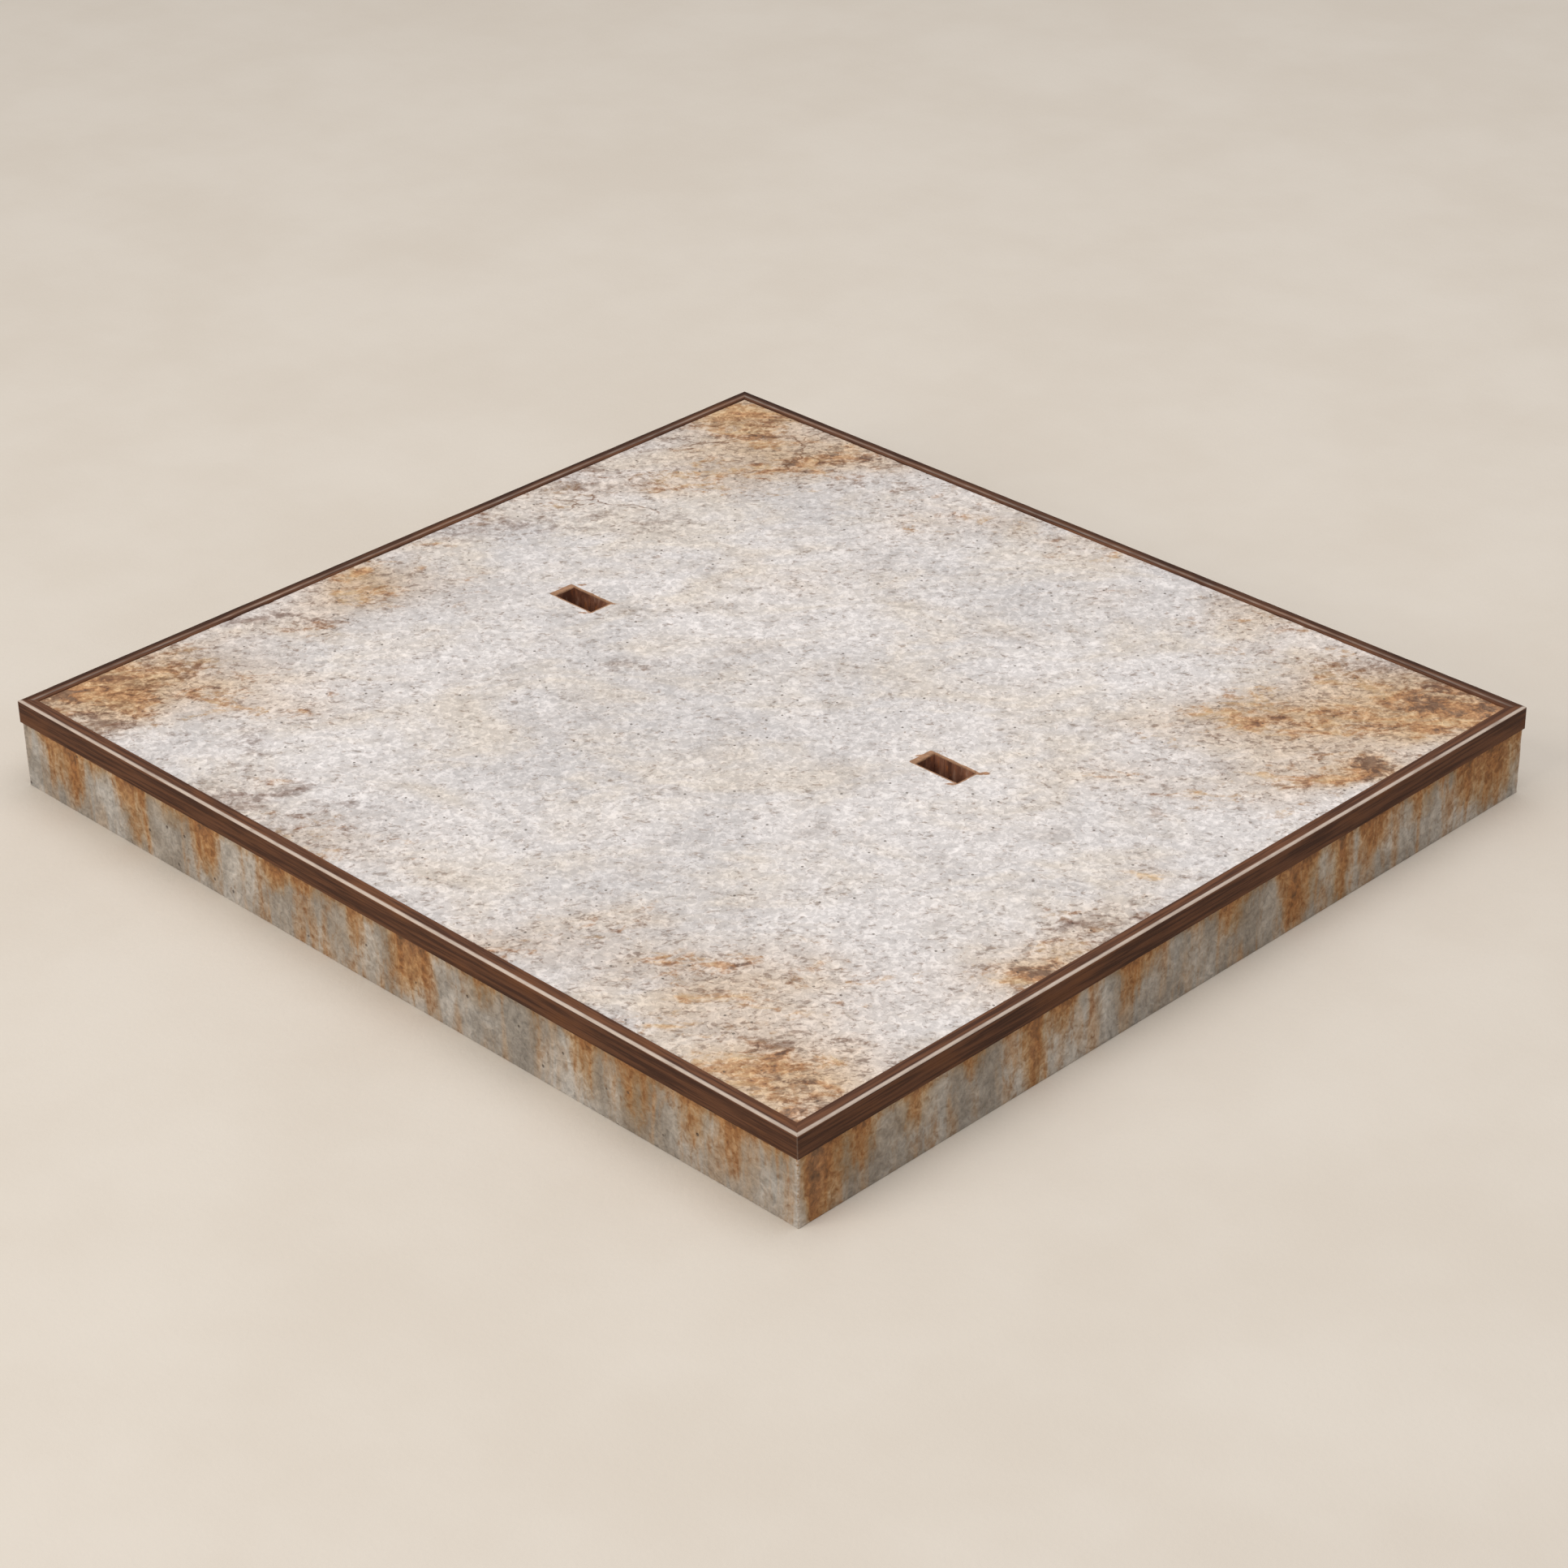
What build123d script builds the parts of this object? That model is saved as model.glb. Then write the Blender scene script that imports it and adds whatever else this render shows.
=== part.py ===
"""Precast concrete manhole cover with steel edging and two lifting key boxes.

A rectangular reinforced slab. Four mitred steel angles, welded at the corners,
protect its upper arris. Round anchors tie the angles to a welded bar mat near the
underside. Each lifting slot opens into a steel box where a T-headed key can turn.

Millimetres. +Z is up, X runs along the length. The origin is the middle of the
underside, so the slab stands on Z = 0.
"""

import os

from build123d import *

# Overall sizes
cover_length = 700.0  # over the steel edging, along X
cover_width = 650.0  # over the steel edging, along Y
slab_height = 60.8  # underside to walking surface
underside_chamfer = 2.0

# Steel edging, an L of one thickness
edge_proud_top = 1.2  # above the walking surface
edge_proud_side = 1.0  # outside the concrete face
edge_flange = 9.5  # width seen from above
edge_leg = 16.0  # depth seen from the side
edge_thickness = 3.0
edge_arris_radius = 1.5
edge_tip_radius = 0.8
corner_weld_leg = 4.0

# Lifting slots and the key boxes under them
key_slot_length = 35.0
key_slot_width = 17.0
key_left_x = -192.5
key_right_x = 137.0
key_line_y = 19.0
key_sleeve_wall = 2.0
key_sleeve_height = 13.0
key_sleeve_depth = 1.2  # concrete above the sleeve's top edge
key_plate_thickness = 5.0
key_plate_overhang = 6.0  # beyond the pan, all round
key_pan_height = 26.0
key_pan_wall = 2.0
key_pan_corner = 4.0
key_turning_gap = 3.5  # between the turned head of the key and the pan

# Flat straps that hold each key plate down
strap_width = 12.0
strap_thickness = 4.0
strap_bend = 8.0  # to the strap's centre line
strap_foot = 26.0
strap_sleeve_gap = 2.0
strap_edge_margin = 2.5  # from the strap to the end of the plate

# Bar mat and the round anchors of the edging
bar_diameter = 8.0
bar_pitch = 85.0  # nominal
bar_bottom_cover = 15.0
bar_side_cover = 25.0
bar_gap = 0.2  # between crossing bars
bay_gap = 1.0  # least gap between a key plate and the bars beside it
anchor_diameter = 6.0
anchor_bend = 12.0  # to the anchor's centre line
tie_gap = 0.5  # between bars that are tied side by side
spacer_size = 26.0

# Levels above the underside
edge_top = slab_height + edge_proud_top
leg_bottom = edge_top - edge_leg
sleeve_top = slab_height - key_sleeve_depth
plate_top = sleeve_top - key_sleeve_height
pan_top = plate_top - key_plate_thickness
pan_bottom = pan_top - key_pan_height
long_bar_level = bar_bottom_cover + bar_diameter / 2
cross_bar_level = long_bar_level + bar_diameter + bar_gap

# Plan sizes of the key boxes
strap_spread = key_slot_length / 2 + key_sleeve_wall + strap_sleeve_gap + strap_width / 2
key_plate_length = 2 * strap_spread + strap_width + 2 * strap_edge_margin
key_pan_length = key_plate_length - 2 * key_plate_overhang
key_pan_width = key_slot_length + 2 * (key_turning_gap + key_pan_wall)
key_plate_width = key_pan_width + 2 * key_plate_overhang

# Plan sizes of the concrete and of the edge bars
slab_length = cover_length - 2 * edge_proud_side
slab_width = cover_width - 2 * edge_proud_side
edge_bar_inset = bar_side_cover + bar_diameter / 2
edge_bar_x = slab_length / 2 - edge_bar_inset
edge_bar_y = slab_width / 2 - edge_bar_inset
tie_offset = (bar_diameter + anchor_diameter) / 2 + tie_gap


def bar_lines(key_centre, pitch, edge):
    """Places of parallel bars: mid-bay about a key box, with one along each edge."""
    inner = [key_centre + pitch * (step + 0.5) for step in range(-30, 30)]
    return [-edge, *[place for place in inner if abs(place) < edge - pitch / 2], edge]


key_spacing = key_right_x - key_left_x
cross_pitch_least = key_plate_length + bar_diameter + 2 * bay_gap
long_pitch_least = key_plate_width + bar_diameter + 2 * bay_gap
cross_bays = min(round(key_spacing / bar_pitch), int(key_spacing / cross_pitch_least))
cross_pitch = key_spacing / cross_bays
long_pitch = max(bar_pitch, long_pitch_least)
cross_bar_places = bar_lines(key_left_x, cross_pitch, edge_bar_x)
long_bar_places = bar_lines(key_line_y, long_pitch, edge_bar_y)

up = Vector(0, 0, 1)
front, right, rear, left = Vector(0, -1, 0), Vector(1, 0, 0), Vector(0, 1, 0), Vector(-1, 0, 0)


def side_plane(outward, reach, place):
    """Upright plane across one side: local X points outwards, local Y up, origin on the underside."""
    along = outward.cross(up)
    return Plane(origin=outward * reach + along * place, x_dir=outward, z_dir=along)


def edge_rail(outward, reach, half_run):
    """One angle of the edging, mitred at both ends. reach is from the centre to its outer face."""
    along = outward.cross(up)
    with BuildPart() as rail:
        with BuildSketch(side_plane(outward, reach, -half_run)) as section:
            with Locations((0, edge_top)):
                Rectangle(edge_thickness, edge_leg, align=(Align.MAX, Align.MAX))
                Rectangle(edge_flange, edge_thickness, align=(Align.MAX, Align.MAX))
            arris = section.vertices().group_by(Axis.Y)[-1].sort_by(Axis.X)[-1]
            fillet(arris, edge_arris_radius)
            tip = section.vertices().group_by(Axis.Y)[-1].sort_by(Axis.X)[0]
            fillet(tip, edge_tip_radius)
        extrude(amount=2 * half_run)
        for end in (along, -along):
            corner = outward * reach + end * half_run
            split(bisect_by=Plane(origin=corner, z_dir=end - outward), keep=Keep.BOTTOM)
    return rail.part


def edge_anchors(outward, reach, bar_reach, places):
    """Bent round anchors of one angle: in from its leg, then down just inside the edge bar."""
    along = outward.cross(up)
    leg_face = -edge_thickness
    drop = bar_reach - reach - tie_offset
    mid_leg = (leg_bottom + edge_top - edge_thickness) / 2
    with BuildPart() as anchors:
        for place in places:
            with BuildLine(side_plane(outward, reach, place * (along.X + along.Y))) as path:
                FilletPolyline(
                    (leg_face, mid_leg), (drop, mid_leg), (drop, bar_bottom_cover), radius=anchor_bend
                )
            with BuildSketch(Plane(origin=path.line @ 0, z_dir=path.line % 0)):
                Circle(anchor_diameter / 2)
            sweep(path=path.line)
    return anchors.part


# Edging
edge_rail_front = edge_rail(front, cover_width / 2, cover_length / 2)
edge_rail_right = edge_rail(right, cover_length / 2, cover_width / 2)
edge_rail_rear = edge_rail(rear, cover_width / 2, cover_length / 2)
edge_rail_left = edge_rail(left, cover_length / 2, cover_width / 2)

with BuildPart() as corner_welds:
    inner_x = cover_length / 2 - edge_thickness
    inner_y = cover_width / 2 - edge_thickness
    with BuildSketch(Plane.XY.offset(leg_bottom)):
        with BuildLine():
            Polyline(
                (inner_x, inner_y),
                (inner_x - corner_weld_leg, inner_y),
                (inner_x, inner_y - corner_weld_leg),
                close=True,
            )
        make_face()
        mirror(about=Plane.YZ)
        mirror(about=Plane.XZ)
    extrude(amount=edge_leg - edge_thickness)

inner_cross_places = cross_bar_places[1:-1]
inner_long_places = long_bar_places[1:-1]
beside_cross_bars = [place + tie_offset for place in inner_cross_places]
beside_long_bars = [place + tie_offset for place in inner_long_places]
edge_anchors_front = edge_anchors(front, cover_width / 2, edge_bar_y, beside_cross_bars)
edge_anchors_right = edge_anchors(right, cover_length / 2, edge_bar_x, beside_long_bars)
edge_anchors_rear = edge_anchors(rear, cover_width / 2, edge_bar_y, beside_cross_bars)
edge_anchors_left = edge_anchors(left, cover_length / 2, edge_bar_x, beside_long_bars)

# Bar mat: the long bars lie below, the cross bars rest on them
long_bar_run = slab_length - 2 * bar_side_cover
with BuildPart() as mat_long_bars:
    with BuildSketch(Plane.YZ.offset(-long_bar_run / 2)):
        with Locations(*[(place, long_bar_level) for place in long_bar_places]):
            Circle(bar_diameter / 2)
    extrude(amount=long_bar_run)

cross_bar_run = slab_width - 2 * bar_side_cover
with BuildPart() as mat_cross_bars:
    with BuildSketch(Plane.XZ.offset(-cross_bar_run / 2)):
        with Locations(*[(place, cross_bar_level) for place in cross_bar_places]):
            Circle(bar_diameter / 2)
    extrude(amount=cross_bar_run)

# Mortar blocks with a saddle, which carry the mat while the slab is cast
spacer_reach = edge_bar_x - tie_offset - anchor_diameter / 2 - tie_gap - spacer_size / 2
spacer_columns = [
    max(inner_cross_places[0] - cross_pitch / 2, -spacer_reach),
    (key_left_x + key_right_x) / 2,
    inner_cross_places[-1] - cross_pitch / 2,
]
middle_long_bar = inner_long_places[len(inner_long_places) // 2]
spacer_rows = [inner_long_places[0], middle_long_bar, inner_long_places[-1]]
with BuildPart() as bar_spacers:
    with BuildSketch():
        with Locations(*[(x, y) for x in spacer_columns for y in spacer_rows]):
            Rectangle(spacer_size, spacer_size)
    extrude(amount=long_bar_level)
    add(mat_long_bars.part, mode=Mode.SUBTRACT)


def key_sleeve(key_x):
    """Rectangular tube that lines one slot, from just under the walking surface to the plate."""
    with BuildPart() as sleeve:
        with BuildSketch(Plane.XY.offset(plate_top)):
            with Locations((key_x, key_line_y)):
                Rectangle(key_slot_length + 2 * key_sleeve_wall, key_slot_width + 2 * key_sleeve_wall)
                Rectangle(key_slot_length, key_slot_width, mode=Mode.SUBTRACT)
        extrude(amount=key_sleeve_height)
    return sleeve.part


def key_plate(key_x):
    """Slotted plate whose underside bears on the head of the lifting key."""
    with BuildPart() as plate:
        with BuildSketch(Plane.XY.offset(pan_top)):
            with Locations((key_x, key_line_y)):
                Rectangle(key_plate_length, key_plate_width)
                Rectangle(key_slot_length, key_slot_width, mode=Mode.SUBTRACT)
        extrude(amount=key_plate_thickness)
    return plate.part


def key_pan(key_x):
    """Open-topped pan that keeps the concrete out of the space where the key turns."""
    inner_corner = key_pan_corner - key_pan_wall
    with BuildPart() as pan:
        with BuildSketch(Plane.XY.offset(pan_bottom)):
            with Locations((key_x, key_line_y)):
                RectangleRounded(key_pan_length, key_pan_width, key_pan_corner)
        extrude(amount=key_pan_height)
        with BuildSketch(Plane.XY.offset(pan_bottom + key_pan_wall)):
            with Locations((key_x, key_line_y)):
                RectangleRounded(
                    key_pan_length - 2 * key_pan_wall, key_pan_width - 2 * key_pan_wall, inner_corner
                )
        extrude(amount=key_pan_height - key_pan_wall, mode=Mode.SUBTRACT)
    return pan.part


def key_straps(key_x):
    """Two flat straps over a key plate, each with its feet turned out beyond the next long bars."""
    leg = long_pitch / 2 + bar_diameter / 2 + tie_gap + strap_thickness / 2
    over_plate = plate_top + strap_thickness / 2
    outline = [
        (key_line_y + leg + strap_foot, long_bar_level),
        (key_line_y + leg, long_bar_level),
        (key_line_y + leg, over_plate),
        (key_line_y - leg, over_plate),
        (key_line_y - leg, long_bar_level),
        (key_line_y - leg - strap_foot, long_bar_level),
    ]
    with BuildPart() as straps:
        for strap_x in (key_x - strap_spread, key_x + strap_spread):
            with BuildLine(Plane.YZ.offset(strap_x)) as path:
                FilletPolyline(*outline, radius=strap_bend)
            with BuildSketch(Plane(origin=path.line @ 0, x_dir=(1, 0, 0), z_dir=path.line % 0)):
                Rectangle(strap_width, strap_thickness)
            sweep(path=path.line)
    return straps.part


pieces = {
    "edge_rail_front": edge_rail_front,
    "edge_rail_right": edge_rail_right,
    "edge_rail_rear": edge_rail_rear,
    "edge_rail_left": edge_rail_left,
    "corner_welds": corner_welds.part,
    "edge_anchors_front": edge_anchors_front,
    "edge_anchors_right": edge_anchors_right,
    "edge_anchors_rear": edge_anchors_rear,
    "edge_anchors_left": edge_anchors_left,
    "mat_long_bars": mat_long_bars.part,
    "mat_cross_bars": mat_cross_bars.part,
    "bar_spacers": bar_spacers.part,
}
for side, key_x in (("left", key_left_x), ("right", key_right_x)):
    pieces[f"key_sleeve_{side}"] = key_sleeve(key_x)
    pieces[f"key_plate_{side}"] = key_plate(key_x)
    pieces[f"key_pan_{side}"] = key_pan(key_x)
    pieces[f"key_straps_{side}"] = key_straps(key_x)

# Concrete, cast around everything above
with BuildPart() as concrete_slab:
    with BuildSketch():
        Rectangle(slab_length, slab_width)
    extrude(amount=slab_height)
    chamfer(concrete_slab.faces().sort_by(Axis.Z)[0].edges(), underside_chamfer)
    for steel in pieces.values():
        add(steel, mode=Mode.SUBTRACT)
    for key_x in (key_left_x, key_right_x):
        with BuildSketch(Plane.XY.offset(pan_top)):
            with Locations((key_x, key_line_y)):
                Rectangle(key_slot_length, key_slot_width)
        extrude(amount=slab_height - pan_top, mode=Mode.SUBTRACT)
        with BuildSketch(Plane.XY.offset(pan_bottom)):
            with Locations((key_x, key_line_y)):
                RectangleRounded(key_pan_length, key_pan_width, key_pan_corner)
        extrude(amount=key_pan_height, mode=Mode.SUBTRACT)
pieces["concrete_slab"] = concrete_slab.part

os.makedirs("parts", exist_ok=True)
for name, piece in pieces.items():
    piece.label = name
    export_step(piece, f"parts/{name}.step")
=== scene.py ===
"""Looks of a precast concrete manhole cover with steel edging and two lifting key boxes.

Metres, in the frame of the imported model: +Z is up and the cover stands on Z = 0.
"""

import logging
import math
from collections.abc import Sequence
from dataclasses import dataclass, field
from enum import Enum
from typing import Any

import bmesh
import bpy
import numpy as np
from mathutils import Matrix, Vector


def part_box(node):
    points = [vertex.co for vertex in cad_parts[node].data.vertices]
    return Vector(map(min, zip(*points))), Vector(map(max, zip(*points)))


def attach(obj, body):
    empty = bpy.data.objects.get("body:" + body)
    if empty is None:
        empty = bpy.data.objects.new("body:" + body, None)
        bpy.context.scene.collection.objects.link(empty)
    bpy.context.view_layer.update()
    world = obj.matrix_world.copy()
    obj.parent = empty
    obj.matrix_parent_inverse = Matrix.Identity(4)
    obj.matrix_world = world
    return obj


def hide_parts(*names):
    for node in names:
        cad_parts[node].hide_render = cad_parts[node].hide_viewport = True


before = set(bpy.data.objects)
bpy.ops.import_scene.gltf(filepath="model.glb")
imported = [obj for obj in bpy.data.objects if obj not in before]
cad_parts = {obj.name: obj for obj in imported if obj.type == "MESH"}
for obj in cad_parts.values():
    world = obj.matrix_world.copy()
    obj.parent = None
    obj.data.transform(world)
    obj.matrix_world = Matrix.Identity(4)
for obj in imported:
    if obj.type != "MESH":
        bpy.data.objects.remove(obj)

log = logging.getLogger("manhole_cover")
Array = np.ndarray
MM = 0.001
GRAIN_TURN = math.radians(45.5)  # the trowel marks of the walking surface run along this plan direction
EDGING_THICKNESS = 3 * MM


# ---------------------------------------------------------------- numbers


def smooth(value: Array, low: float, high: float) -> Array:
    """Runs from 0 at low to 1 at high, with a flat start and end."""
    share = np.clip((value - low) / (high - low), 0.0, 1.0)
    return share * share * (3.0 - 2.0 * share)


class Grain:
    """Smooth random relief: values on a seeded lattice, joined by smooth steps."""

    def __init__(self, seed: int) -> None:
        """Draws the lattice.

        Args:
            seed: the same seed gives the same relief.
        """
        source = np.random.default_rng(seed)
        order = source.permutation(256)
        self.order = np.concatenate([order, order])
        self.level = source.uniform(-1.0, 1.0, 256)

    def single(self, points: Array, size: float) -> Array:
        """One layer: the eight lattice values round a point, weighted by how near each corner is.

        Args:
            points: rows of x, y, z.
            size: the lattice's spacing.

        Returns:
            A value from -1 to 1 for each point.
        """
        cell = points / size
        low = np.floor(cell).astype(np.int64)
        ease = (cell - low) ** 2 * (3.0 - 2.0 * (cell - low))
        total = np.zeros(len(points))
        for corner in range(8):
            step = np.array([corner & 1, corner >> 1 & 1, corner >> 2 & 1])
            weight = np.prod(np.where(step == 1, ease, 1.0 - ease), axis=1)
            x, y, z = ((low + step) & 255).T
            total += weight * self.level[self.order[self.order[self.order[x] + y] + z]]
        return total

    def layered(self, points: Array, size: float, layers: int = 4) -> Array:
        """Layers of half the size and half the height each, added up.

        Args:
            points: rows of x, y, z.
            size: the first layer's lattice spacing.
            layers: how many layers.

        Returns:
            A value of about -1 to 1 for each point.
        """
        heights = 0.5 ** np.arange(layers)
        parts = [h * self.single(points + 7.31 * i, size * h) for i, h in enumerate(heights)]
        return np.sum(parts, axis=0) / heights.sum() * 1.4


def graded(stops: Sequence[float], zones: Sequence[tuple[float, float, float]], coarse: float) -> Array:
    """Lines across one side that pass through every stop, and lie closer together in the zones.

    Args:
        stops: places that get a line.
        zones: each a start, an end and the widest spacing between them.
        coarse: the widest spacing elsewhere.

    Returns:
        The places of the lines, rising.
    """
    edges = np.unique(np.round([*stops, *(z[0] for z in zones), *(z[1] for z in zones)], 6))
    runs = []
    for low, high in zip(edges[:-1], edges[1:], strict=True):
        middle = (low + high) / 2
        spacing = min([coarse, *(s for a, b, s in zones if a < middle < b)])
        count = max(1, math.ceil((high - low) / spacing - 1e-6))
        runs.append(np.linspace(low, high, count, endpoint=False))
    return np.concatenate([*runs, edges[-1:]])


def drawn_in(lines: Array, inset: float, zone: float = 20 * MM) -> Array:
    """The same lines with both ends moved in by inset. Only the last stretch, the zone, is squeezed.

    Args:
        lines: places from -half to +half.
        inset: how far each end moves in.
        zone: the length of each end that takes up the move.

    Returns:
        The moved places.
    """
    inner = lines[-1] - zone
    size = np.abs(lines)
    squeezed = inner + (size - inner) * (zone - inset) / zone
    return np.sign(lines) * np.where(size > inner, squeezed, size)


def round_rectangle(x: Array, y: Array) -> Array:
    """Points round the rectangle that two sets of lines span, one where each line ends, counter-clockwise.

    Args:
        x: places of the lines across, rising.
        y: places of the lines along, rising.

    Returns:
        Rows of x and y.
    """
    front = np.column_stack([x[:-1], np.full(len(x) - 1, y[0])])
    right = np.column_stack([np.full(len(y) - 1, x[-1]), y[:-1]])
    rear = np.column_stack([x[:0:-1], np.full(len(x) - 1, y[-1])])
    left = np.column_stack([np.full(len(y) - 1, x[0]), y[:0:-1]])
    return np.concatenate([front, right, rear, left])


def at_level(plan: Array, level: float) -> Array:
    """Rows of x, y and z for rows of x and y that all lie at one level."""
    return np.column_stack([plan, np.full(len(plan), level)])


def rounded_corners(points: Array, half: Sequence[float], radius: float) -> Array:
    """Rounds the upright arrises of a box: a point beyond a corner's arc is drawn onto it.

    Args:
        points: rows of x, y, z.
        half: the box's half sizes along x and y.
        radius: the arc's radius.

    Returns:
        The moved points.
    """
    moved = points.copy()
    centre = np.array(half) - radius
    beyond = np.abs(points[:, :2]) - centre
    length = np.hypot(beyond[:, 0], beyond[:, 1])
    outside = (beyond > 0).all(axis=1) & (length > radius)
    drawn = centre + beyond * (radius / np.maximum(length, 1e-9))[:, None]
    moved[outside, :2] = (np.sign(points[:, :2]) * drawn)[outside]
    return moved


# ---------------------------------------------------------------- meshes


class Patchwork:
    """Patches of one surface. Points that coincide are welded when the piece is made."""

    def __init__(self) -> None:
        """Starts with no patches."""
        self.points: list[Array] = []
        self.faces: list[Array] = []
        self.finishes: list[Array] = []
        self.count = 0

    def add(self, points: Array, faces: Array, finish: int = 0) -> None:
        """Adds a patch.

        Args:
            points: rows of x, y, z.
            faces: rows of point numbers within this patch, all with as many corners.
            finish: which of the piece's materials the patch wears.
        """
        self.points.append(points)
        self.faces.append(faces + self.count)
        self.finishes.append(np.full(len(faces), finish))
        self.count += len(points)

    def add_polygon(self, points: Array, finish: int = 0) -> None:
        """Adds one flat face through these points."""
        self.add(points, np.arange(len(points))[None, :], finish)

    def add_grid(self, grid: Array, finish: int = 0, closed: bool = False, keep: Array | None = None) -> None:
        """Adds a patch of four-cornered faces between neighbours on a grid.

        Args:
            grid: rows by columns of x, y, z.
            finish: which of the piece's materials the patch wears.
            closed: the last column joins the first.
            keep: which cells get a face; all of them if it is left out.
        """
        rows, columns = grid.shape[:2]
        number = np.arange(rows * columns).reshape(rows, columns)
        after = np.roll(number, -1, axis=1) if closed else number[:, 1:]
        before = number if closed else number[:, :-1]
        quads = np.stack([before[:-1], after[:-1], after[1:], before[1:]], axis=-1)
        chosen = quads.reshape(-1, 4) if keep is None else quads[keep]
        self.add(grid.reshape(-1, 3), chosen, finish)

    def welded(self) -> tuple[Array, list[Array]]:
        """Merges points less than a micrometre apart.

        Returns:
            The points that the faces use, and the faces renumbered to them.
        """
        points = np.concatenate(self.points)
        used = np.unique(np.concatenate([f.ravel() for f in self.faces]))
        keys = np.round(points[used] * 1e6).astype(np.int64)
        _, first, group = np.unique(keys, axis=0, return_index=True, return_inverse=True)
        renumber = np.zeros(len(points), dtype=np.int64)
        renumber[used] = group.ravel()
        return points[used][first], [renumber[f] for f in self.faces]


@dataclass
class Piece:
    """A finished surface on its way to becoming an object."""

    name: str
    points: Array
    faces: list[Array]
    finishes: Array
    notes: dict[str, Array] = field(default_factory=dict)

    @classmethod
    def of(cls, name: str, patches: Patchwork) -> "Piece":
        """Welds the patches into a piece of this name."""
        points, faces = patches.welded()
        return cls(name, points, faces, np.concatenate(patches.finishes))

    def build(self, materials: Sequence[bpy.types.Material], crease: float = 35.0) -> bpy.types.Object:
        """Makes the mesh and its object, with every face pointing outwards.

        Args:
            materials: one for each finish number.
            crease: edges that turn by more than this many degrees stay sharp.

        Returns:
            The object, at the origin.
        """
        mesh = bpy.data.meshes.new(self.name)
        corners = np.concatenate([f.ravel() for f in self.faces])
        sizes = np.concatenate([np.full(len(f), f.shape[1]) for f in self.faces])
        mesh.vertices.add(len(self.points))
        mesh.vertices.foreach_set("co", self.points.astype(np.float32).ravel())
        mesh.loops.add(len(corners))
        mesh.loops.foreach_set("vertex_index", corners.astype(np.int32))
        mesh.polygons.add(len(sizes))
        starts = np.concatenate([[0], np.cumsum(sizes)[:-1]])
        mesh.polygons.foreach_set("loop_start", starts.astype(np.int32))
        mesh.polygons.foreach_set("material_index", self.finishes.astype(np.int32))
        mesh.polygons.foreach_set("use_smooth", np.ones(len(sizes), dtype=bool))
        mesh.update(calc_edges=True)
        for material in materials:
            mesh.materials.append(material)
        shell = bmesh.new()
        shell.from_mesh(mesh)
        bmesh.ops.recalc_face_normals(shell, faces=shell.faces)
        loose = sum(not edge.is_manifold for edge in shell.edges)
        shell.to_mesh(mesh)
        shell.free()
        mesh.set_sharp_from_angle(angle=math.radians(crease))
        for name, values in self.notes.items():
            kind = "FLOAT_VECTOR" if values.ndim == 2 else "FLOAT"
            note = mesh.attributes.new(name, kind, "POINT")
            member = "vector" if values.ndim == 2 else "value"
            note.data.foreach_set(member, values.astype(np.float32).ravel())
        piece = bpy.data.objects.new(self.name, mesh)
        bpy.context.scene.collection.objects.link(piece)
        log.info("%s: %d points, %d open edges", self.name, len(self.points), loose)
        return piece


# ---------------------------------------------------------------- shaders


class Signal:
    """One socket of a shader. Arithmetic on it adds the Math or Vector Math node that works it out."""

    def __init__(self, shader: "Shader", socket: bpy.types.NodeSocket) -> None:
        """Wraps a socket.

        Args:
            shader: the material that the socket is in.
            socket: an output socket.
        """
        self.shader = shader
        self.socket = socket
        self.wide = socket.type in {"RGBA", "VECTOR"}

    def __add__(self, other: Any) -> "Signal":
        """Sum."""
        return self.shader.arithmetic("ADD", self, other)

    def __radd__(self, other: Any) -> "Signal":
        """Sum, with the number on the left."""
        return self.shader.arithmetic("ADD", other, self)

    def __sub__(self, other: Any) -> "Signal":
        """Difference."""
        return self.shader.arithmetic("SUBTRACT", self, other)

    def __rsub__(self, other: Any) -> "Signal":
        """Difference, with the number on the left."""
        return self.shader.arithmetic("SUBTRACT", other, self)

    def __mul__(self, other: Any) -> "Signal":
        """Product. A colour or vector times a number is scaled."""
        return self.shader.arithmetic("MULTIPLY", self, other)

    def __rmul__(self, other: Any) -> "Signal":
        """Product, with the number on the left."""
        return self.shader.arithmetic("MULTIPLY", self, other)

    def __abs__(self) -> "Signal":
        """Size without sign."""
        return self.shader.arithmetic("ABSOLUTE", self)

    def step(self, low: float, high: float) -> "Signal":
        """Runs smoothly from 0 at low to 1 at high; low may be the larger."""
        settings = {"interpolation_type": "SMOOTHSTEP"}
        if low < high:
            inputs = {"Value": self, "From Min": low, "From Max": high, "To Min": 0.0, "To Max": 1.0}
        else:
            inputs = {"Value": self, "From Min": high, "From Max": low, "To Min": 1.0, "To Max": 0.0}
        return self.shader.add("ShaderNodeMapRange", settings, inputs)


@dataclass(frozen=True)
class Tint:
    """A colour as it is seen, each channel from 0 to 255."""

    red: float
    green: float
    blue: float

    def linear(self) -> tuple[float, float, float, float]:
        """The colour as a shader reads it."""
        shares = [c / 255.0 for c in (self.red, self.green, self.blue)]
        channels = [s / 12.92 if s <= 0.04045 else ((s + 0.055) / 1.055) ** 2.4 for s in shares]
        return (channels[0], channels[1], channels[2], 1.0)


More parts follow.
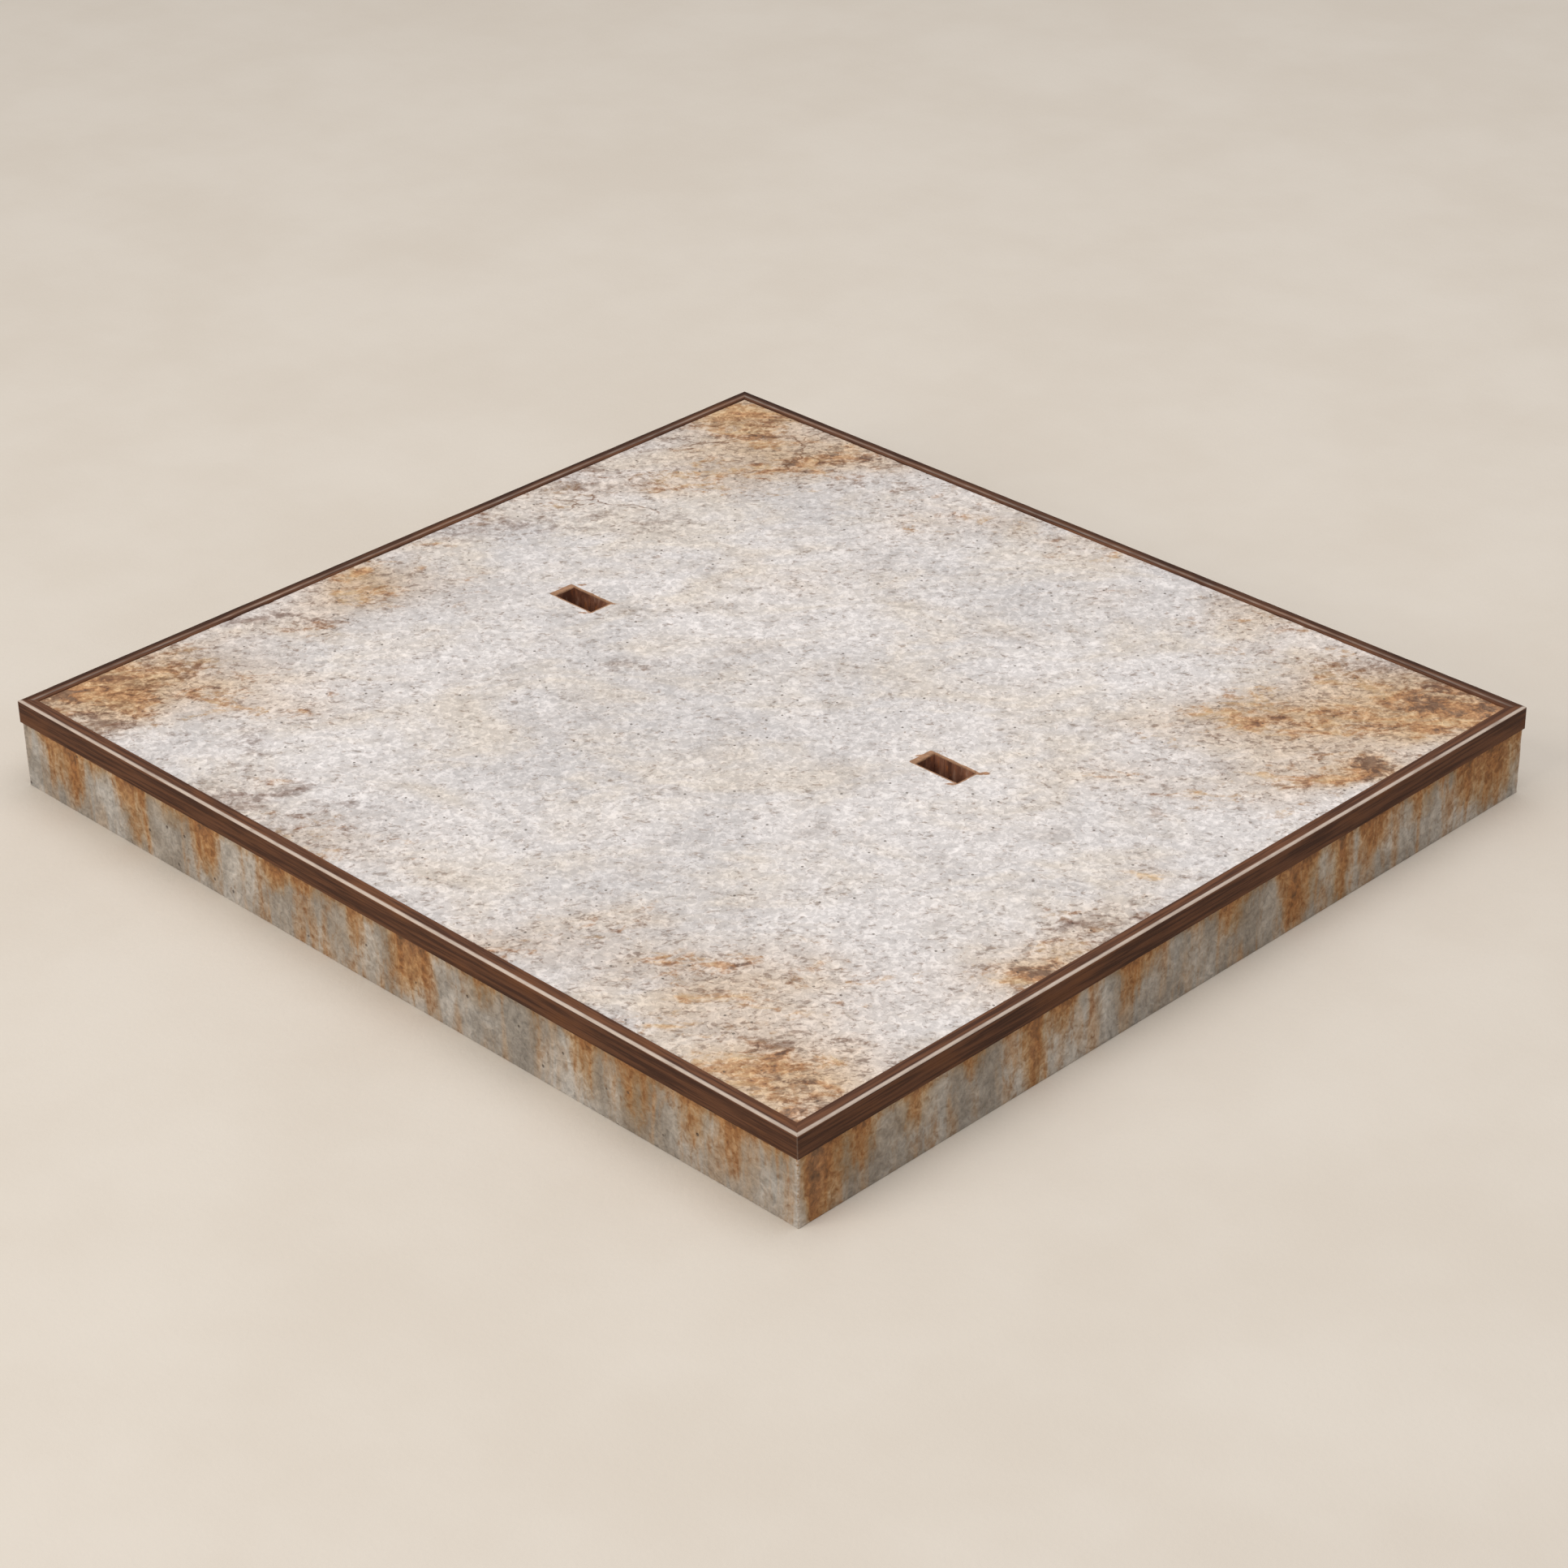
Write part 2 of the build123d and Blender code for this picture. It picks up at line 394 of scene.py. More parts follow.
class Shader:
    """A material that is put together from nodes."""

    def __init__(self, name: str) -> None:
        """Starts a material with a Principled surface.

        Args:
            name: the material's name.
        """
        self.material = bpy.data.materials.new(name)
        self.material.use_nodes = True
        self.tree = self.material.node_tree
        self.tree.nodes.clear()
        self.surface = self.tree.nodes.new("ShaderNodeBsdfPrincipled")
        output = self.tree.nodes.new("ShaderNodeOutputMaterial")
        self.tree.links.new(self.surface.outputs["BSDF"], output.inputs["Surface"])

    def plug(self, socket: bpy.types.NodeSocket, value: Any) -> None:
        """Links a signal to an input socket, or sets a number, vector or tint on it."""
        if isinstance(value, Signal):
            self.tree.links.new(value.socket, socket)
        elif isinstance(value, Tint):
            socket.default_value = value.linear()
        else:
            socket.default_value = value

    def add(
        self, kind: str, settings: dict[str, Any], inputs: dict[str | int, Any], output: str | int = 0
    ) -> Signal:
        """Adds any node.

        Args:
            kind: the node's type.
            settings: its properties, set first. "stops" holds a ramp's places and tints.
            inputs: values or signals for its sockets, by name or number.
            output: the output socket to return.

        Returns:
            The chosen output.
        """
        node = self.tree.nodes.new(kind)
        for name, value in settings.items():
            if name == "stops":
                ramp = node.color_ramp.elements
                for place, tint in value[len(ramp) :]:
                    ramp.new(place)
                for element, (place, tint) in zip(ramp, value, strict=True):
                    element.position = place
                    element.color = tint.linear()
            else:
                setattr(node, name, value)
        for name, value in inputs.items():
            self.plug(node.inputs[name], value)
        return Signal(self, node.outputs[output])

    def arithmetic(self, operation: str, first: Any, second: Any = None) -> Signal:
        """Adds the node for one operation, on numbers, vectors or both.

        Args:
            operation: a Math operation's name.
            first: a signal or a number.
            second: a signal or a number, where the operation takes two.

        Returns:
            The result.
        """
        given = [v for v in (first, second) if v is not None]
        wide = [v for v in given if isinstance(v, Signal) and v.wide]
        if not wide:
            return self.add("ShaderNodeMath", {"operation": operation}, dict(enumerate(given)))
        if operation == "MULTIPLY" and len(wide) == 1:
            scale = second if first is wide[0] else first
            return self.add("ShaderNodeVectorMath", {"operation": "SCALE"}, {0: wide[0], "Scale": scale})
        spread = [v if isinstance(v, Signal) else (v, v, v) for v in given]
        return self.add("ShaderNodeVectorMath", {"operation": operation}, dict(enumerate(spread)))

    def position(self) -> Signal:
        """The point on the object, in metres."""
        return self.add("ShaderNodeTexCoord", {}, {}, "Object")

    def note(self, name: str, vector: bool = False) -> Signal:
        """A value that was worked out for each point of the mesh."""
        settings = {"attribute_name": name, "attribute_type": "GEOMETRY"}
        return self.add("ShaderNodeAttribute", settings, {}, "Vector" if vector else "Fac")

    def placed(
        self,
        point: Signal,
        turn: float = 0.0,
        stretch: Sequence[float] = (1.0, 1.0, 1.0),
        shift: Sequence[float] = (0.0, 0.0, 0.0),
    ) -> Signal:
        """Turns a point about Z, then scales and shifts it.

        Args:
            point: the point.
            turn: radians about Z.
            stretch: scale along each axis after the turn; under 1 makes a pattern longer.
            shift: added at the end, so that patterns differ.

        Returns:
            The moved point.
        """
        turned = self.add("ShaderNodeMapping", {}, {"Vector": point, "Rotation": (0.0, 0.0, turn)})
        inputs = {"Vector": turned, "Scale": tuple(stretch), "Location": tuple(shift)}
        return self.add("ShaderNodeMapping", {}, inputs)

    def noise(
        self, point: Signal, per_metre: float, detail: float = 3.0, roughness: float = 0.55, warp: float = 0.0
    ) -> Signal:
        """Layered noise from 0 to 1, about 0.5 on average.

        Args:
            point: where it is read.
            per_metre: how many features there are in a metre.
            detail: how many finer layers are added.
            roughness: the finer layers' share.
            warp: how far the pattern is bent by itself.

        Returns:
            The noise.
        """
        inputs = {"Vector": point, "Scale": per_metre, "Detail": detail, "Roughness": roughness}
        return self.add("ShaderNodeTexNoise", {"noise_dimensions": "3D"}, {**inputs, "Distortion": warp})

    def specks(self, point: Signal, per_metre: float, size: float, share: float) -> Signal:
        """Small round dots, scattered one to a cell.

        Args:
            point: where they are read.
            per_metre: how many cells there are in a metre.
            size: a dot's radius as a share of its cell.
            share: the share of cells that have a dot.

        Returns:
            1 in a dot and 0 outside.
        """
        inputs = {"Vector": point, "Scale": per_metre, "Randomness": 1.0}
        distance = self.add("ShaderNodeTexVoronoi", {}, inputs, "Distance")
        cell = self.add("ShaderNodeTexVoronoi", {}, inputs, "Color")
        pick = self.add("ShaderNodeSeparateColor", {}, {0: cell}, 0)
        return distance.step(size, size * 0.45) * pick.step(1.0 - share, 1.0 - share * 0.8)

    def cracks(self, point: Signal, per_metre: float, width: float) -> Signal:
        """A net of thin cracks: the borders between cells, pushed about by a noise.

        Args:
            point: where they are read.
            per_metre: how many cells there are in a metre.
            width: half a crack's width as a share of a cell.

        Returns:
            1 on a crack and 0 off it.
        """
        inputs = {"Vector": point, "Scale": per_metre * 1.7, "Detail": 4.0, "Roughness": 0.6}
        push = self.add("ShaderNodeTexNoise", {}, inputs, "Color") - 0.5
        bent = point + push * (0.75 / per_metre)
        cells = {"Vector": bent, "Scale": per_metre, "Randomness": 1.0}
        border = self.add("ShaderNodeTexVoronoi", {"feature": "DISTANCE_TO_EDGE"}, cells, "Distance")
        return border.step(width, width * 0.25)

    def ramp(self, share: Signal, *stops: tuple[float, Tint]) -> Signal:
        """A colour that passes through the stops as the share rises."""
        return self.add("ShaderNodeValToRGB", {"stops": stops}, {"Fac": share})

    def mix(self, share: Any, first: Any, second: Any, blend: str = "MIX") -> Signal:
        """Goes from the first colour to the second.

        Args:
            share: 0 for the first, 1 for the second.
            first: a signal or a tint.
            second: a signal or a tint.
            blend: how the second is laid on.

        Returns:
            The mixed colour.
        """
        settings = {"data_type": "RGBA", "blend_type": blend, "clamp_factor": True}
        return self.add("ShaderNodeMix", settings, {0: share, 6: first, 7: second}, 2)

    def finish(self, color: Signal, roughness: Any, height: Signal, depth: float, **constants: float) -> None:
        """Connects the surface.

        Args:
            color: the base colour.
            roughness: a number or signal.
            height: relief from 0 to 1.
            depth: how deep a relief of 1 is, in metres.
            **constants: numbers for other sockets, with spaces written as underscores.
        """
        bump = self.add("ShaderNodeBump", {}, {"Height": height, "Distance": depth, "Strength": 1.0})
        self.plug(self.surface.inputs["Base Color"], color)
        self.plug(self.surface.inputs["Roughness"], roughness)
        self.plug(self.surface.inputs["Normal"], bump)
        for name, value in constants.items():
            self.plug(self.surface.inputs[name.replace("_", " ")], value)


# ---------------------------------------------------------------- finishes


@dataclass(frozen=True)
class WalkingSurfaceFinish:
    """Pale, trowelled and weathered concrete, stained by rust from the edging."""

    pale: Tint = Tint(229, 222, 217)
    cool: Tint = Tint(214, 208, 204)
    cream: Tint = Tint(224, 212, 198)
    smudge: Tint = Tint(168, 154, 142)
    fleck: Tint = Tint(136, 110, 90)
    pit_shade: Tint = Tint(104, 90, 78)
    warmth: Tint = Tint(238, 210, 172)
    lightest: Tint = Tint(222, 190, 148)
    ochre: Tint = Tint(204, 160, 114)
    orange: Tint = Tint(176, 122, 78)
    brown: Tint = Tint(112, 78, 58)
    soot: Tint = Tint(114, 80, 62)
    bared: Tint = Tint(160, 112, 72)
    crack: Tint = Tint(118, 80, 52)

    def make(self) -> bpy.types.Material:
        """Builds the material. It reads the notes rust, halo, soot, crazed and lip."""
        s = Shader("walking_surface")
        at = s.position()
        grain = s.placed(at, turn=-GRAIN_TURN, stretch=(1.0, 0.9, 1.0))
        streak = s.placed(at, turn=-GRAIN_TURN, stretch=(0.58, 1.0, 1.0), shift=(3.0, 1.0, 0.0))
        rust, halo, soot, crazed, lip = (s.note(n) for n in ("rust", "halo", "soot", "crazed", "lip"))
        wrinkle = s.noise(grain, 270.0, detail=2.0, roughness=0.55, warp=0.7)
        fold = s.noise(grain, 110.0, detail=3.0, roughness=0.6, warp=0.7)
        crumb = s.noise(grain, 520.0, detail=1.0, roughness=0.6)
        drift = s.noise(streak, 130.0, detail=4.0, roughness=0.68, warp=0.6)
        patch = s.noise(streak, 60.0, detail=5.0, roughness=0.68, warp=0.7)
        flow = s.noise(streak, 34.0, detail=6.0, roughness=0.66, warp=0.9)

        color = s.mix(s.noise(grain, 9.0, 5.0, 0.6, 0.5).step(0.38, 0.62), self.cool, self.pale)
        color = s.mix(s.noise(streak, 16.0, 6.0, 0.62, 0.6).step(0.43, 0.68) * 0.9, color, self.cream)
        color = s.mix(flow.step(0.46, 0.80) * 0.40, color, self.smudge)
        color = s.mix(halo.step(0.0, 1.0) * 0.95, color, self.warmth, "MULTIPLY")
        chips = s.noise(streak, 310.0, detail=3.0, roughness=0.65, warp=0.8)
        flecks = (chips - 0.13 * halo + (fold - 0.5) * 0.4).step(0.44, 0.28)
        color = s.mix(flecks * 0.58, color, s.mix(halo.step(0.0, 0.5), self.fleck, self.brown))

        groove = (0.5 - wrinkle) * 0.5 + (0.5 - fold) * 0.4
        spread = groove + (drift - 0.5) * 0.8 + (patch - 0.5) * 1.9 + rust * 0.40 + halo * 0.06
        tone = 0.5 + (drift - 0.5) * 0.7 + groove * 0.5 + (0.5 - flow) * 1.3 + (rust - 0.9) * 0.10
        stops = ((0.36, self.lightest), (0.47, self.ochre), (0.58, self.orange), (0.70, self.brown))
        color = s.mix(spread.step(0.20, 0.60) * halo.step(0.03, 0.25) * 0.80, color, s.ramp(tone, *stops))
        smear = groove + (drift - 0.5) * 1.2 + (patch - 0.5) * 1.5 + soot * 0.46
        color = s.mix(smear.step(0.10, 0.85) * soot.step(0.03, 0.25) * 0.70, color, self.soot)
        net = s.cracks(streak, 20.0, 0.020) * crazed.step(0.10, 0.55)
        color = s.mix(net * (drift + 0.15), color, self.crack)
        rim = drift + (lip - 0.45) * 0.9
        color = s.mix(rim.step(0.40, 0.56) * lip.step(0.02, 0.2) * 0.9, color, self.bared)

        # painted shade: the colour follows the relief that the bump reads, darker in the hollows of the
        # wrinkles and folds and lighter on their crests
        vein = abs(wrinkle - 0.46).step(0.0, 0.10)
        relief = (wrinkle - 0.5) * 0.85 + (fold - 0.5) * 0.50 + (crumb - 0.5) * 0.25 + (vein - 0.6) * 0.07
        color = color * (0.99 + relief)
        # painted shade: the pinholes are darkened as well as sunk by the bump
        holes = s.specks(grain, 200.0, 0.20, 0.12)
        color = s.mix(holes * 0.75, color, self.pit_shade)
        height = wrinkle * 0.8 + fold * 0.7 + vein * 0.08 + crumb * 0.15 - holes * 0.6
        s.finish(color, 0.88, height, 1.0 * MM, Specular_IOR_Level=0.25)
        return s.material


@dataclass(frozen=True)
class CastSideFinish:
    """Grey cast faces with rust that has run down from the edging."""

    grey: Tint = Tint(194, 188, 180)
    dull: Tint = Tint(152, 144, 134)
    warm: Tint = Tint(176, 154, 130)
    lightest: Tint = Tint(204, 170, 124)
    ochre: Tint = Tint(180, 134, 80)
    orange: Tint = Tint(152, 96, 46)
    brown: Tint = Tint(90, 58, 34)
    pit_shade: Tint = Tint(84, 70, 60)
    warmth: Tint = Tint(234, 210, 178)
    # colour of the painted highlight on the upright arrises
    corner_highlight: Tint = Tint(206, 196, 186)

    def make(self) -> bpy.types.Material:
        """Builds the material. It reads the notes drip and arris."""
        s = Shader("cast_sides")
        at = s.position()
        fall = s.placed(at, stretch=(1.0, 1.0, 0.6))
        long_fall = s.placed(at, stretch=(1.0, 1.0, 0.18), shift=(1.0, 2.0, 0.0))
        drip, arris = s.note("drip"), s.note("arris")
        wrinkle = s.noise(at, 220.0, detail=2.0, roughness=0.55, warp=0.8)
        crumb = s.noise(at, 600.0, detail=1.0, roughness=0.6)
        runs = s.noise(long_fall, 75.0, detail=4.0, roughness=0.6, warp=0.5)
        threads = s.noise(fall, 130.0, detail=4.0, roughness=0.64, warp=0.7)
        cloud = s.noise(fall, 22.0, detail=4.0, roughness=0.6, warp=0.6)

        color = s.mix(cloud.step(0.36, 0.64), self.dull, self.grey)
        color = s.mix(runs.step(0.44, 0.66) * 0.7, color, self.warm)
        color = s.mix(drip.step(0.0, 0.8) * 0.8, color, self.warmth, "MULTIPLY")
        groove = (0.5 - wrinkle) * 0.5 + (0.5 - threads) * 0.6
        spread = groove + (runs - 0.5) * 1.2 + (cloud - 0.5) * 0.4 + drip * 0.52
        tone = 0.47 + groove * 0.5 + (runs - 0.5) * 0.6 + (drip - 0.6) * 0.17
        stops = ((0.36, self.lightest), (0.46, self.ochre), (0.60, self.orange), (0.76, self.brown))
        color = s.mix(spread.step(0.08, 0.56) * drip.step(0.02, 0.2) * 0.80, color, s.ramp(tone, *stops))
        # painted highlight: the upright arrises of the sides are lightened, broken up by a fine noise
        color = s.mix(arris * crumb.step(0.35, 0.6) * 0.7, color, self.corner_highlight)
        # painted shade: the colour is darker in the hollows of the wrinkles and crumb that the bump reads,
        # and varied along the threads
        color = color * (0.98 + (wrinkle - 0.5) * 1.1 + (crumb - 0.5) * 0.35 + (threads - 0.5) * 0.4)
        # painted shade: the pinholes are darkened as well as sunk by the bump
        holes = s.specks(at, 110.0, 0.14, 0.30)
        color = s.mix(holes * 0.75, color, self.pit_shade)
        s.finish(color, 0.86, wrinkle + crumb * 0.25 - holes * 0.8, 1.0 * MM, Specular_IOR_Level=0.25)
        return s.material


@dataclass(frozen=True)
class HiddenConcreteFinish:
    """Plain grey concrete, as it left the mould or lies against the steel."""

    grey: Tint = Tint(176, 170, 162)
    dull: Tint = Tint(146, 140, 132)
    pit_shade: Tint = Tint(92, 84, 77)

    def make(self, name: str = "moulded_concrete") -> bpy.types.Material:
        """Builds the material under this name."""
        s = Shader(name)
        at = s.position()
        cloud = s.noise(at, 16.0, detail=5.0, roughness=0.62, warp=0.4)
        crumb = s.noise(at, 380.0, detail=3.0, roughness=0.7)
        # painted shade: the pinholes are darkened as well as sunk by the bump
        holes = s.specks(at, 60.0, 0.16, 0.45)
        color = s.mix(cloud.step(0.36, 0.64), self.dull, self.grey) * (0.88 + 0.24 * crumb)
        color = s.mix(holes * 0.7, color, self.pit_shade)
        s.finish(color, 0.88, crumb * 0.4 - holes * 0.8, 0.5 * MM, Specular_IOR_Level=0.25)
        return s.material


@dataclass(frozen=True)
class EdgingFinish:
    """Dark brown rusted steel, drawn lengthwise, with a pale painted highlight along a line that is partly
    worn steel, and painted shade on its outer faces.
    """

    brown: Tint = Tint(114, 75, 52)
    deep: Tint = Tint(76, 48, 34)
    red: Tint = Tint(130, 82, 48)
    # pale colour of the painted highlight along the arris, partly worn steel
    worn: Tint = Tint(204, 186, 170)

    def make(self) -> bpy.types.Material:
        """Builds the material. It reads the note strand, the worn note (a painted highlight along the arris,
        partly worn steel) and the note of painted shade.
        """
        s = Shader("edging_rust")
        strand = s.note("strand", vector=True)
        streak = s.placed(strand, stretch=(0.035, 1.0, 1.0))
        cloud = s.noise(s.placed(strand, stretch=(0.3, 1.0, 1.0)), 60.0, detail=4.0, roughness=0.6)
        lines = s.noise(streak, 1100.0, detail=4.0, roughness=0.7)
        bands = s.noise(streak, 420.0, detail=4.0, roughness=0.65)
        crumb = s.noise(s.position(), 700.0, detail=2.0, roughness=0.6)
        worn, dusk = s.note("worn"), s.note("dusk")
        color = s.mix(bands.step(0.38, 0.62), self.deep, self.brown)
        color = s.mix(cloud.step(0.50, 0.72) * 0.45, color, self.red)
        # painted shade: darker on the outer faces, and on the outer half of the rear and left flanges
        color = color * (0.56 + 0.84 * lines) * (1.0 - 0.42 * dusk)
        # painted highlight: the pale tint is laid along the arris where the worn note is high, partly worn
        # steel
        highlight_and_wear = worn * (1.0 + 0.7 * (lines - 0.5) + 0.7 * (cloud - 0.5))
        color = s.mix(highlight_and_wear.step(0.05, 1.10), color, self.worn)
        height = lines * 0.5 + crumb * 0.35 + bands * 0.3
        s.finish(color, 0.70, height, 0.25 * MM, Specular_IOR_Level=0.16)
        return s.material


@dataclass(frozen=True)
class KeySteelFinish:
    """Rough brown rust on the plates and linings of the key boxes."""

    brown: Tint = Tint(172, 118, 90)
    deep: Tint = Tint(104, 64, 46)
    orange: Tint = Tint(186, 112, 62)
    dusty: Tint = Tint(206, 172, 150)

    def make(self, name: str = "key_steel_rust") -> bpy.types.Material:
        """Builds the material under this name."""
        s = Shader(name)
        at = s.position()
        fall = s.placed(at, stretch=(1.0, 1.0, 0.35))
        cloud = s.noise(fall, 70.0, detail=5.0, roughness=0.65, warp=0.6)
        scale = s.noise(fall, 240.0, detail=4.0, roughness=0.7, warp=0.5)
        crumb = s.noise(at, 800.0, detail=3.0, roughness=0.7)
        color = s.mix(cloud.step(0.38, 0.62), self.deep, self.brown)
        color = s.mix(scale.step(0.52, 0.66) * 0.6, color, self.orange)
        color = s.mix(s.noise(fall, 110.0, 3.0, 0.6, 0.4).step(0.52, 0.68) * 0.6, color, self.dusty)
        color = color * (0.82 + 0.3 * crumb)
        s.finish(color, 0.82, scale * 0.5 + crumb * 0.4, 0.4 * MM, Specular_IOR_Level=0.3)
        return s.material


@dataclass(frozen=True)
class BarSteelFinish:
    """Blue-brown mill scale with thin rust, on the bars and anchors inside the concrete."""

    scale: Tint = Tint(96, 86, 82)
    rust: Tint = Tint(150, 92, 56)

    def make(self) -> bpy.types.Material:
        """Builds the material."""
        s = Shader("bar_steel")
        at = s.position()
        cloud = s.noise(at, 90.0, detail=5.0, roughness=0.65, warp=0.5)
        crumb = s.noise(at, 650.0, detail=3.0, roughness=0.65)
        rust = (cloud + (crumb - 0.5) * 0.5).step(0.44, 0.62)
        color = s.mix(rust, self.scale, self.rust) * (0.85 + 0.3 * crumb)
        s.finish(color, 0.45 + 0.35 * rust, crumb, 0.2 * MM, Metallic=0.35)
        return s.material


# ---------------------------------------------------------------- the cover


class Side(Enum):
    """A side of the cover: the axis that it faces along, and the way."""

    FRONT = (1, -1)
    RIGHT = (0, 1)
    REAR = (1, 1)
    LEFT = (0, -1)


class Mark(Enum):
    """What a stain on the walking surface is made of, and the note that holds it."""

    RUST = "rust"
    SOOT = "soot"
    CRAZE = "crazed"


@dataclass(frozen=True)
class Stain:
    """A stain on the walking surface: an oval that is long along the grain."""

    mark: Mark
    x: float
    y: float
    along: float
    across: float
    strength: float = 1.0

    def share(self, plan: Array) -> Array:
        """How strong the stain is at each point.

        The distance from its middle is measured in its own half sizes, q, and the share falls as exp(-q^2).

        Args:
            plan: rows of x and y.

        Returns:
            A value from 0 to its strength.
        """
        dx, dy = plan[:, 0] - self.x, plan[:, 1] - self.y
        u = dx * math.cos(GRAIN_TURN) + dy * math.sin(GRAIN_TURN)
        v = dy * math.cos(GRAIN_TURN) - dx * math.sin(GRAIN_TURN)
        return self.strength * np.exp(-((u / self.along) ** 2) - (v / self.across) ** 2)

    def spread(self, along: float, across: float, share: float) -> "Stain":
        """The same stain, wider by a distance each way and at a share of its strength."""
        sizes = (self.along + along, self.across + across)
        return Stain(self.mark, self.x, self.y, *sizes, self.strength * share)


RUST, SOOT, CRAZE = Mark
STAINS = (
    # rear left corner and the rear side
    Stain(RUST, -0.325, 0.303, 0.040, 0.026, 1.2),
    Stain(RUST, -0.300, 0.270, 0.045, 0.018, 0.9),
    Stain(SOOT, -0.296, 0.305, 0.030, 0.010, 1.0),
    Stain(SOOT, -0.335, 0.270, 0.020, 0.009, 0.6),
    Stain(RUST, -0.224, 0.268, 0.055, 0.016, 0.9),
    Stain(RUST, -0.271, 0.205, 0.055, 0.016, 0.7),
    Stain(RUST, -0.210, 0.308, 0.040, 0.014, 0.9),
    Stain(SOOT, -0.186, 0.312, 0.020, 0.008, 0.6),
    Stain(RUST, -0.102, 0.254, 0.026, 0.010, 0.7),
    Stain(RUST, 0.020, 0.312, 0.030, 0.010, 0.5),
    Stain(RUST, 0.158, 0.304, 0.034, 0.013, 0.8),
    Stain(SOOT, 0.165, 0.312, 0.018, 0.007, 0.5),
    # left side
    Stain(SOOT, -0.330, 0.129, 0.060, 0.018, 1.0),
    Stain(SOOT, -0.335, 0.190, 0.040, 0.014, 0.8),
    Stain(SOOT, -0.330, 0.040, 0.050, 0.014, 0.8),
    Stain(RUST, -0.330, 0.120, 0.050, 0.016, 0.6),
    Stain(SOOT, -0.250, 0.122, 0.040, 0.010, 0.5),
    Stain(RUST, -0.330, -0.062, 0.034, 0.014, 1.1),
    Stain(RUST, -0.302, -0.076, 0.030, 0.009, 1.0),
    Stain(RUST, -0.300, -0.134, 0.024, 0.010, 0.7),
    Stain(SOOT, -0.325, -0.150, 0.040, 0.010, 0.8),
    # front left corner
    Stain(RUST, -0.332, -0.303, 0.040, 0.030, 1.4),
    Stain(RUST, -0.330, -0.250, 0.065, 0.026, 1.1),
    Stain(SOOT, -0.290, -0.298, 0.020, 0.012, 1.2),
    Stain(SOOT, -0.325, -0.262, 0.034, 0.010, 0.9),
    Stain(SOOT, -0.336, -0.225, 0.030, 0.010, 0.8),
    Stain(RUST, -0.272, -0.240, 0.045, 0.016, 0.7),
    Stain(SOOT, -0.275, -0.225, 0.030, 0.010, 0.5),
    Stain(RUST, -0.197, -0.199, 0.020, 0.008, 0.5),
    # front side
    Stain(SOOT, -0.150, -0.306, 0.036, 0.012, 1.0),
    Stain(RUST, -0.083, -0.306, 0.034, 0.014, 0.9),
    Stain(SOOT, -0.100, -0.310, 0.020, 0.008, 0.7),
    Stain(RUST, 0.085, -0.310, 0.024, 0.008, 0.5),
    Stain(RUST, 0.110, -0.262, 0.034, 0.008, 0.5),
    Stain(RUST, 0.187, -0.242, 0.048, 0.012, 0.75),
    Stain(RUST, 0.238, -0.236, 0.050, 0.014, 0.85),
    Stain(SOOT, 0.236, -0.232, 0.014, 0.005, 0.5),
    # front right corner
    Stain(RUST, 0.284, -0.278, 0.046, 0.016, 0.7),
    Stain(SOOT, 0.282, -0.272, 0.018, 0.006, 0.8),
    Stain(RUST, 0.330, -0.304, 0.042, 0.020, 1.0),
    Stain(RUST, 0.270, -0.306, 0.040, 0.014, 0.6),
    # right side
    Stain(RUST, 0.331, -0.122, 0.028, 0.014, 0.9),
    Stain(SOOT, 0.336, -0.045, 0.036, 0.012, 0.9),
    Stain(RUST, 0.334, -0.078, 0.028, 0.012, 0.7),
    Stain(RUST, 0.218, 0.084, 0.026, 0.010, 0.65),
    Stain(RUST, 0.312, 0.178, 0.040, 0.020, 1.0),
    Stain(RUST, 0.250, 0.212, 0.050, 0.016, 1.0),
    Stain(SOOT, 0.249, 0.210, 0.014, 0.006, 0.9),
    Stain(RUST, 0.219, 0.179, 0.030, 0.009, 0.6),
    # rear right corner
    Stain(RUST, 0.326, 0.306, 0.044, 0.030, 1.2),
    Stain(RUST, 0.300, 0.262, 0.056, 0.026, 0.9),
    Stain(SOOT, 0.256, 0.308, 0.034, 0.011, 1.4),
    Stain(SOOT, 0.296, 0.312, 0.024, 0.009, 1.2),
    Stain(RUST, 0.240, 0.292, 0.040, 0.016, 0.8),
    # the middle
    Stain(SOOT, -0.099, -0.024, 0.012, 0.005, 0.9),
    Stain(RUST, -0.104, 0.128, 0.012, 0.005, 0.5),
    # nets of fine cracks
    Stain(CRAZE, -0.255, 0.275, 0.080, 0.040, 1.0),
    Stain(CRAZE, -0.290, 0.125, 0.070, 0.022, 0.9),
    Stain(CRAZE, 0.235, 0.185, 0.040, 0.016, 0.6),
    Stain(CRAZE, -0.310, -0.250, 0.050, 0.022, 0.7),
)


EDGING_FOOT = (0.338, 0.313)  # half sizes of the line along which stains start, beside the edging


def strewn_stains(count: int = 220, reach: float = 38 * MM, rusty: float = 0.68) -> tuple[Stain, ...]:
    """Small stains strewn beside the edging, thick at its foot and thinner inwards.

    Args:
        count: how many stains.
        reach: their mean distance from the edging; the distances fall off exponentially.
        rusty: the share of them that is rust.

    Returns:
        The stains, always the same ones.
    """
    source = np.random.default_rng(12)
    half = EDGING_FOOT
    stains = []
    for _ in range(count):
        axis = int(source.integers(2))
        place = [0.0, 0.0]
        place[axis] = float(source.choice((-1.0, 1.0)) * (half[axis] - source.exponential(reach)))
        place[1 - axis] = float(source.uniform(-half[1 - axis], half[1 - axis]))
        mark = Mark.RUST if source.random() < rusty else Mark.SOOT
        along, across = source.uniform(4 * MM, 18 * MM), source.uniform(1.5 * MM, 4.5 * MM)
        stains.append(Stain(mark, *place, along, across, source.uniform(0.45, 0.95)))
    return tuple(stains)


@dataclass(frozen=True)
class Drip:
    """Rust that has run down a side: place along it, half width, length, strength and lean."""

    place: float
    width: float
    length: float
    strength: float = 1.0
    lean: float = 0.0


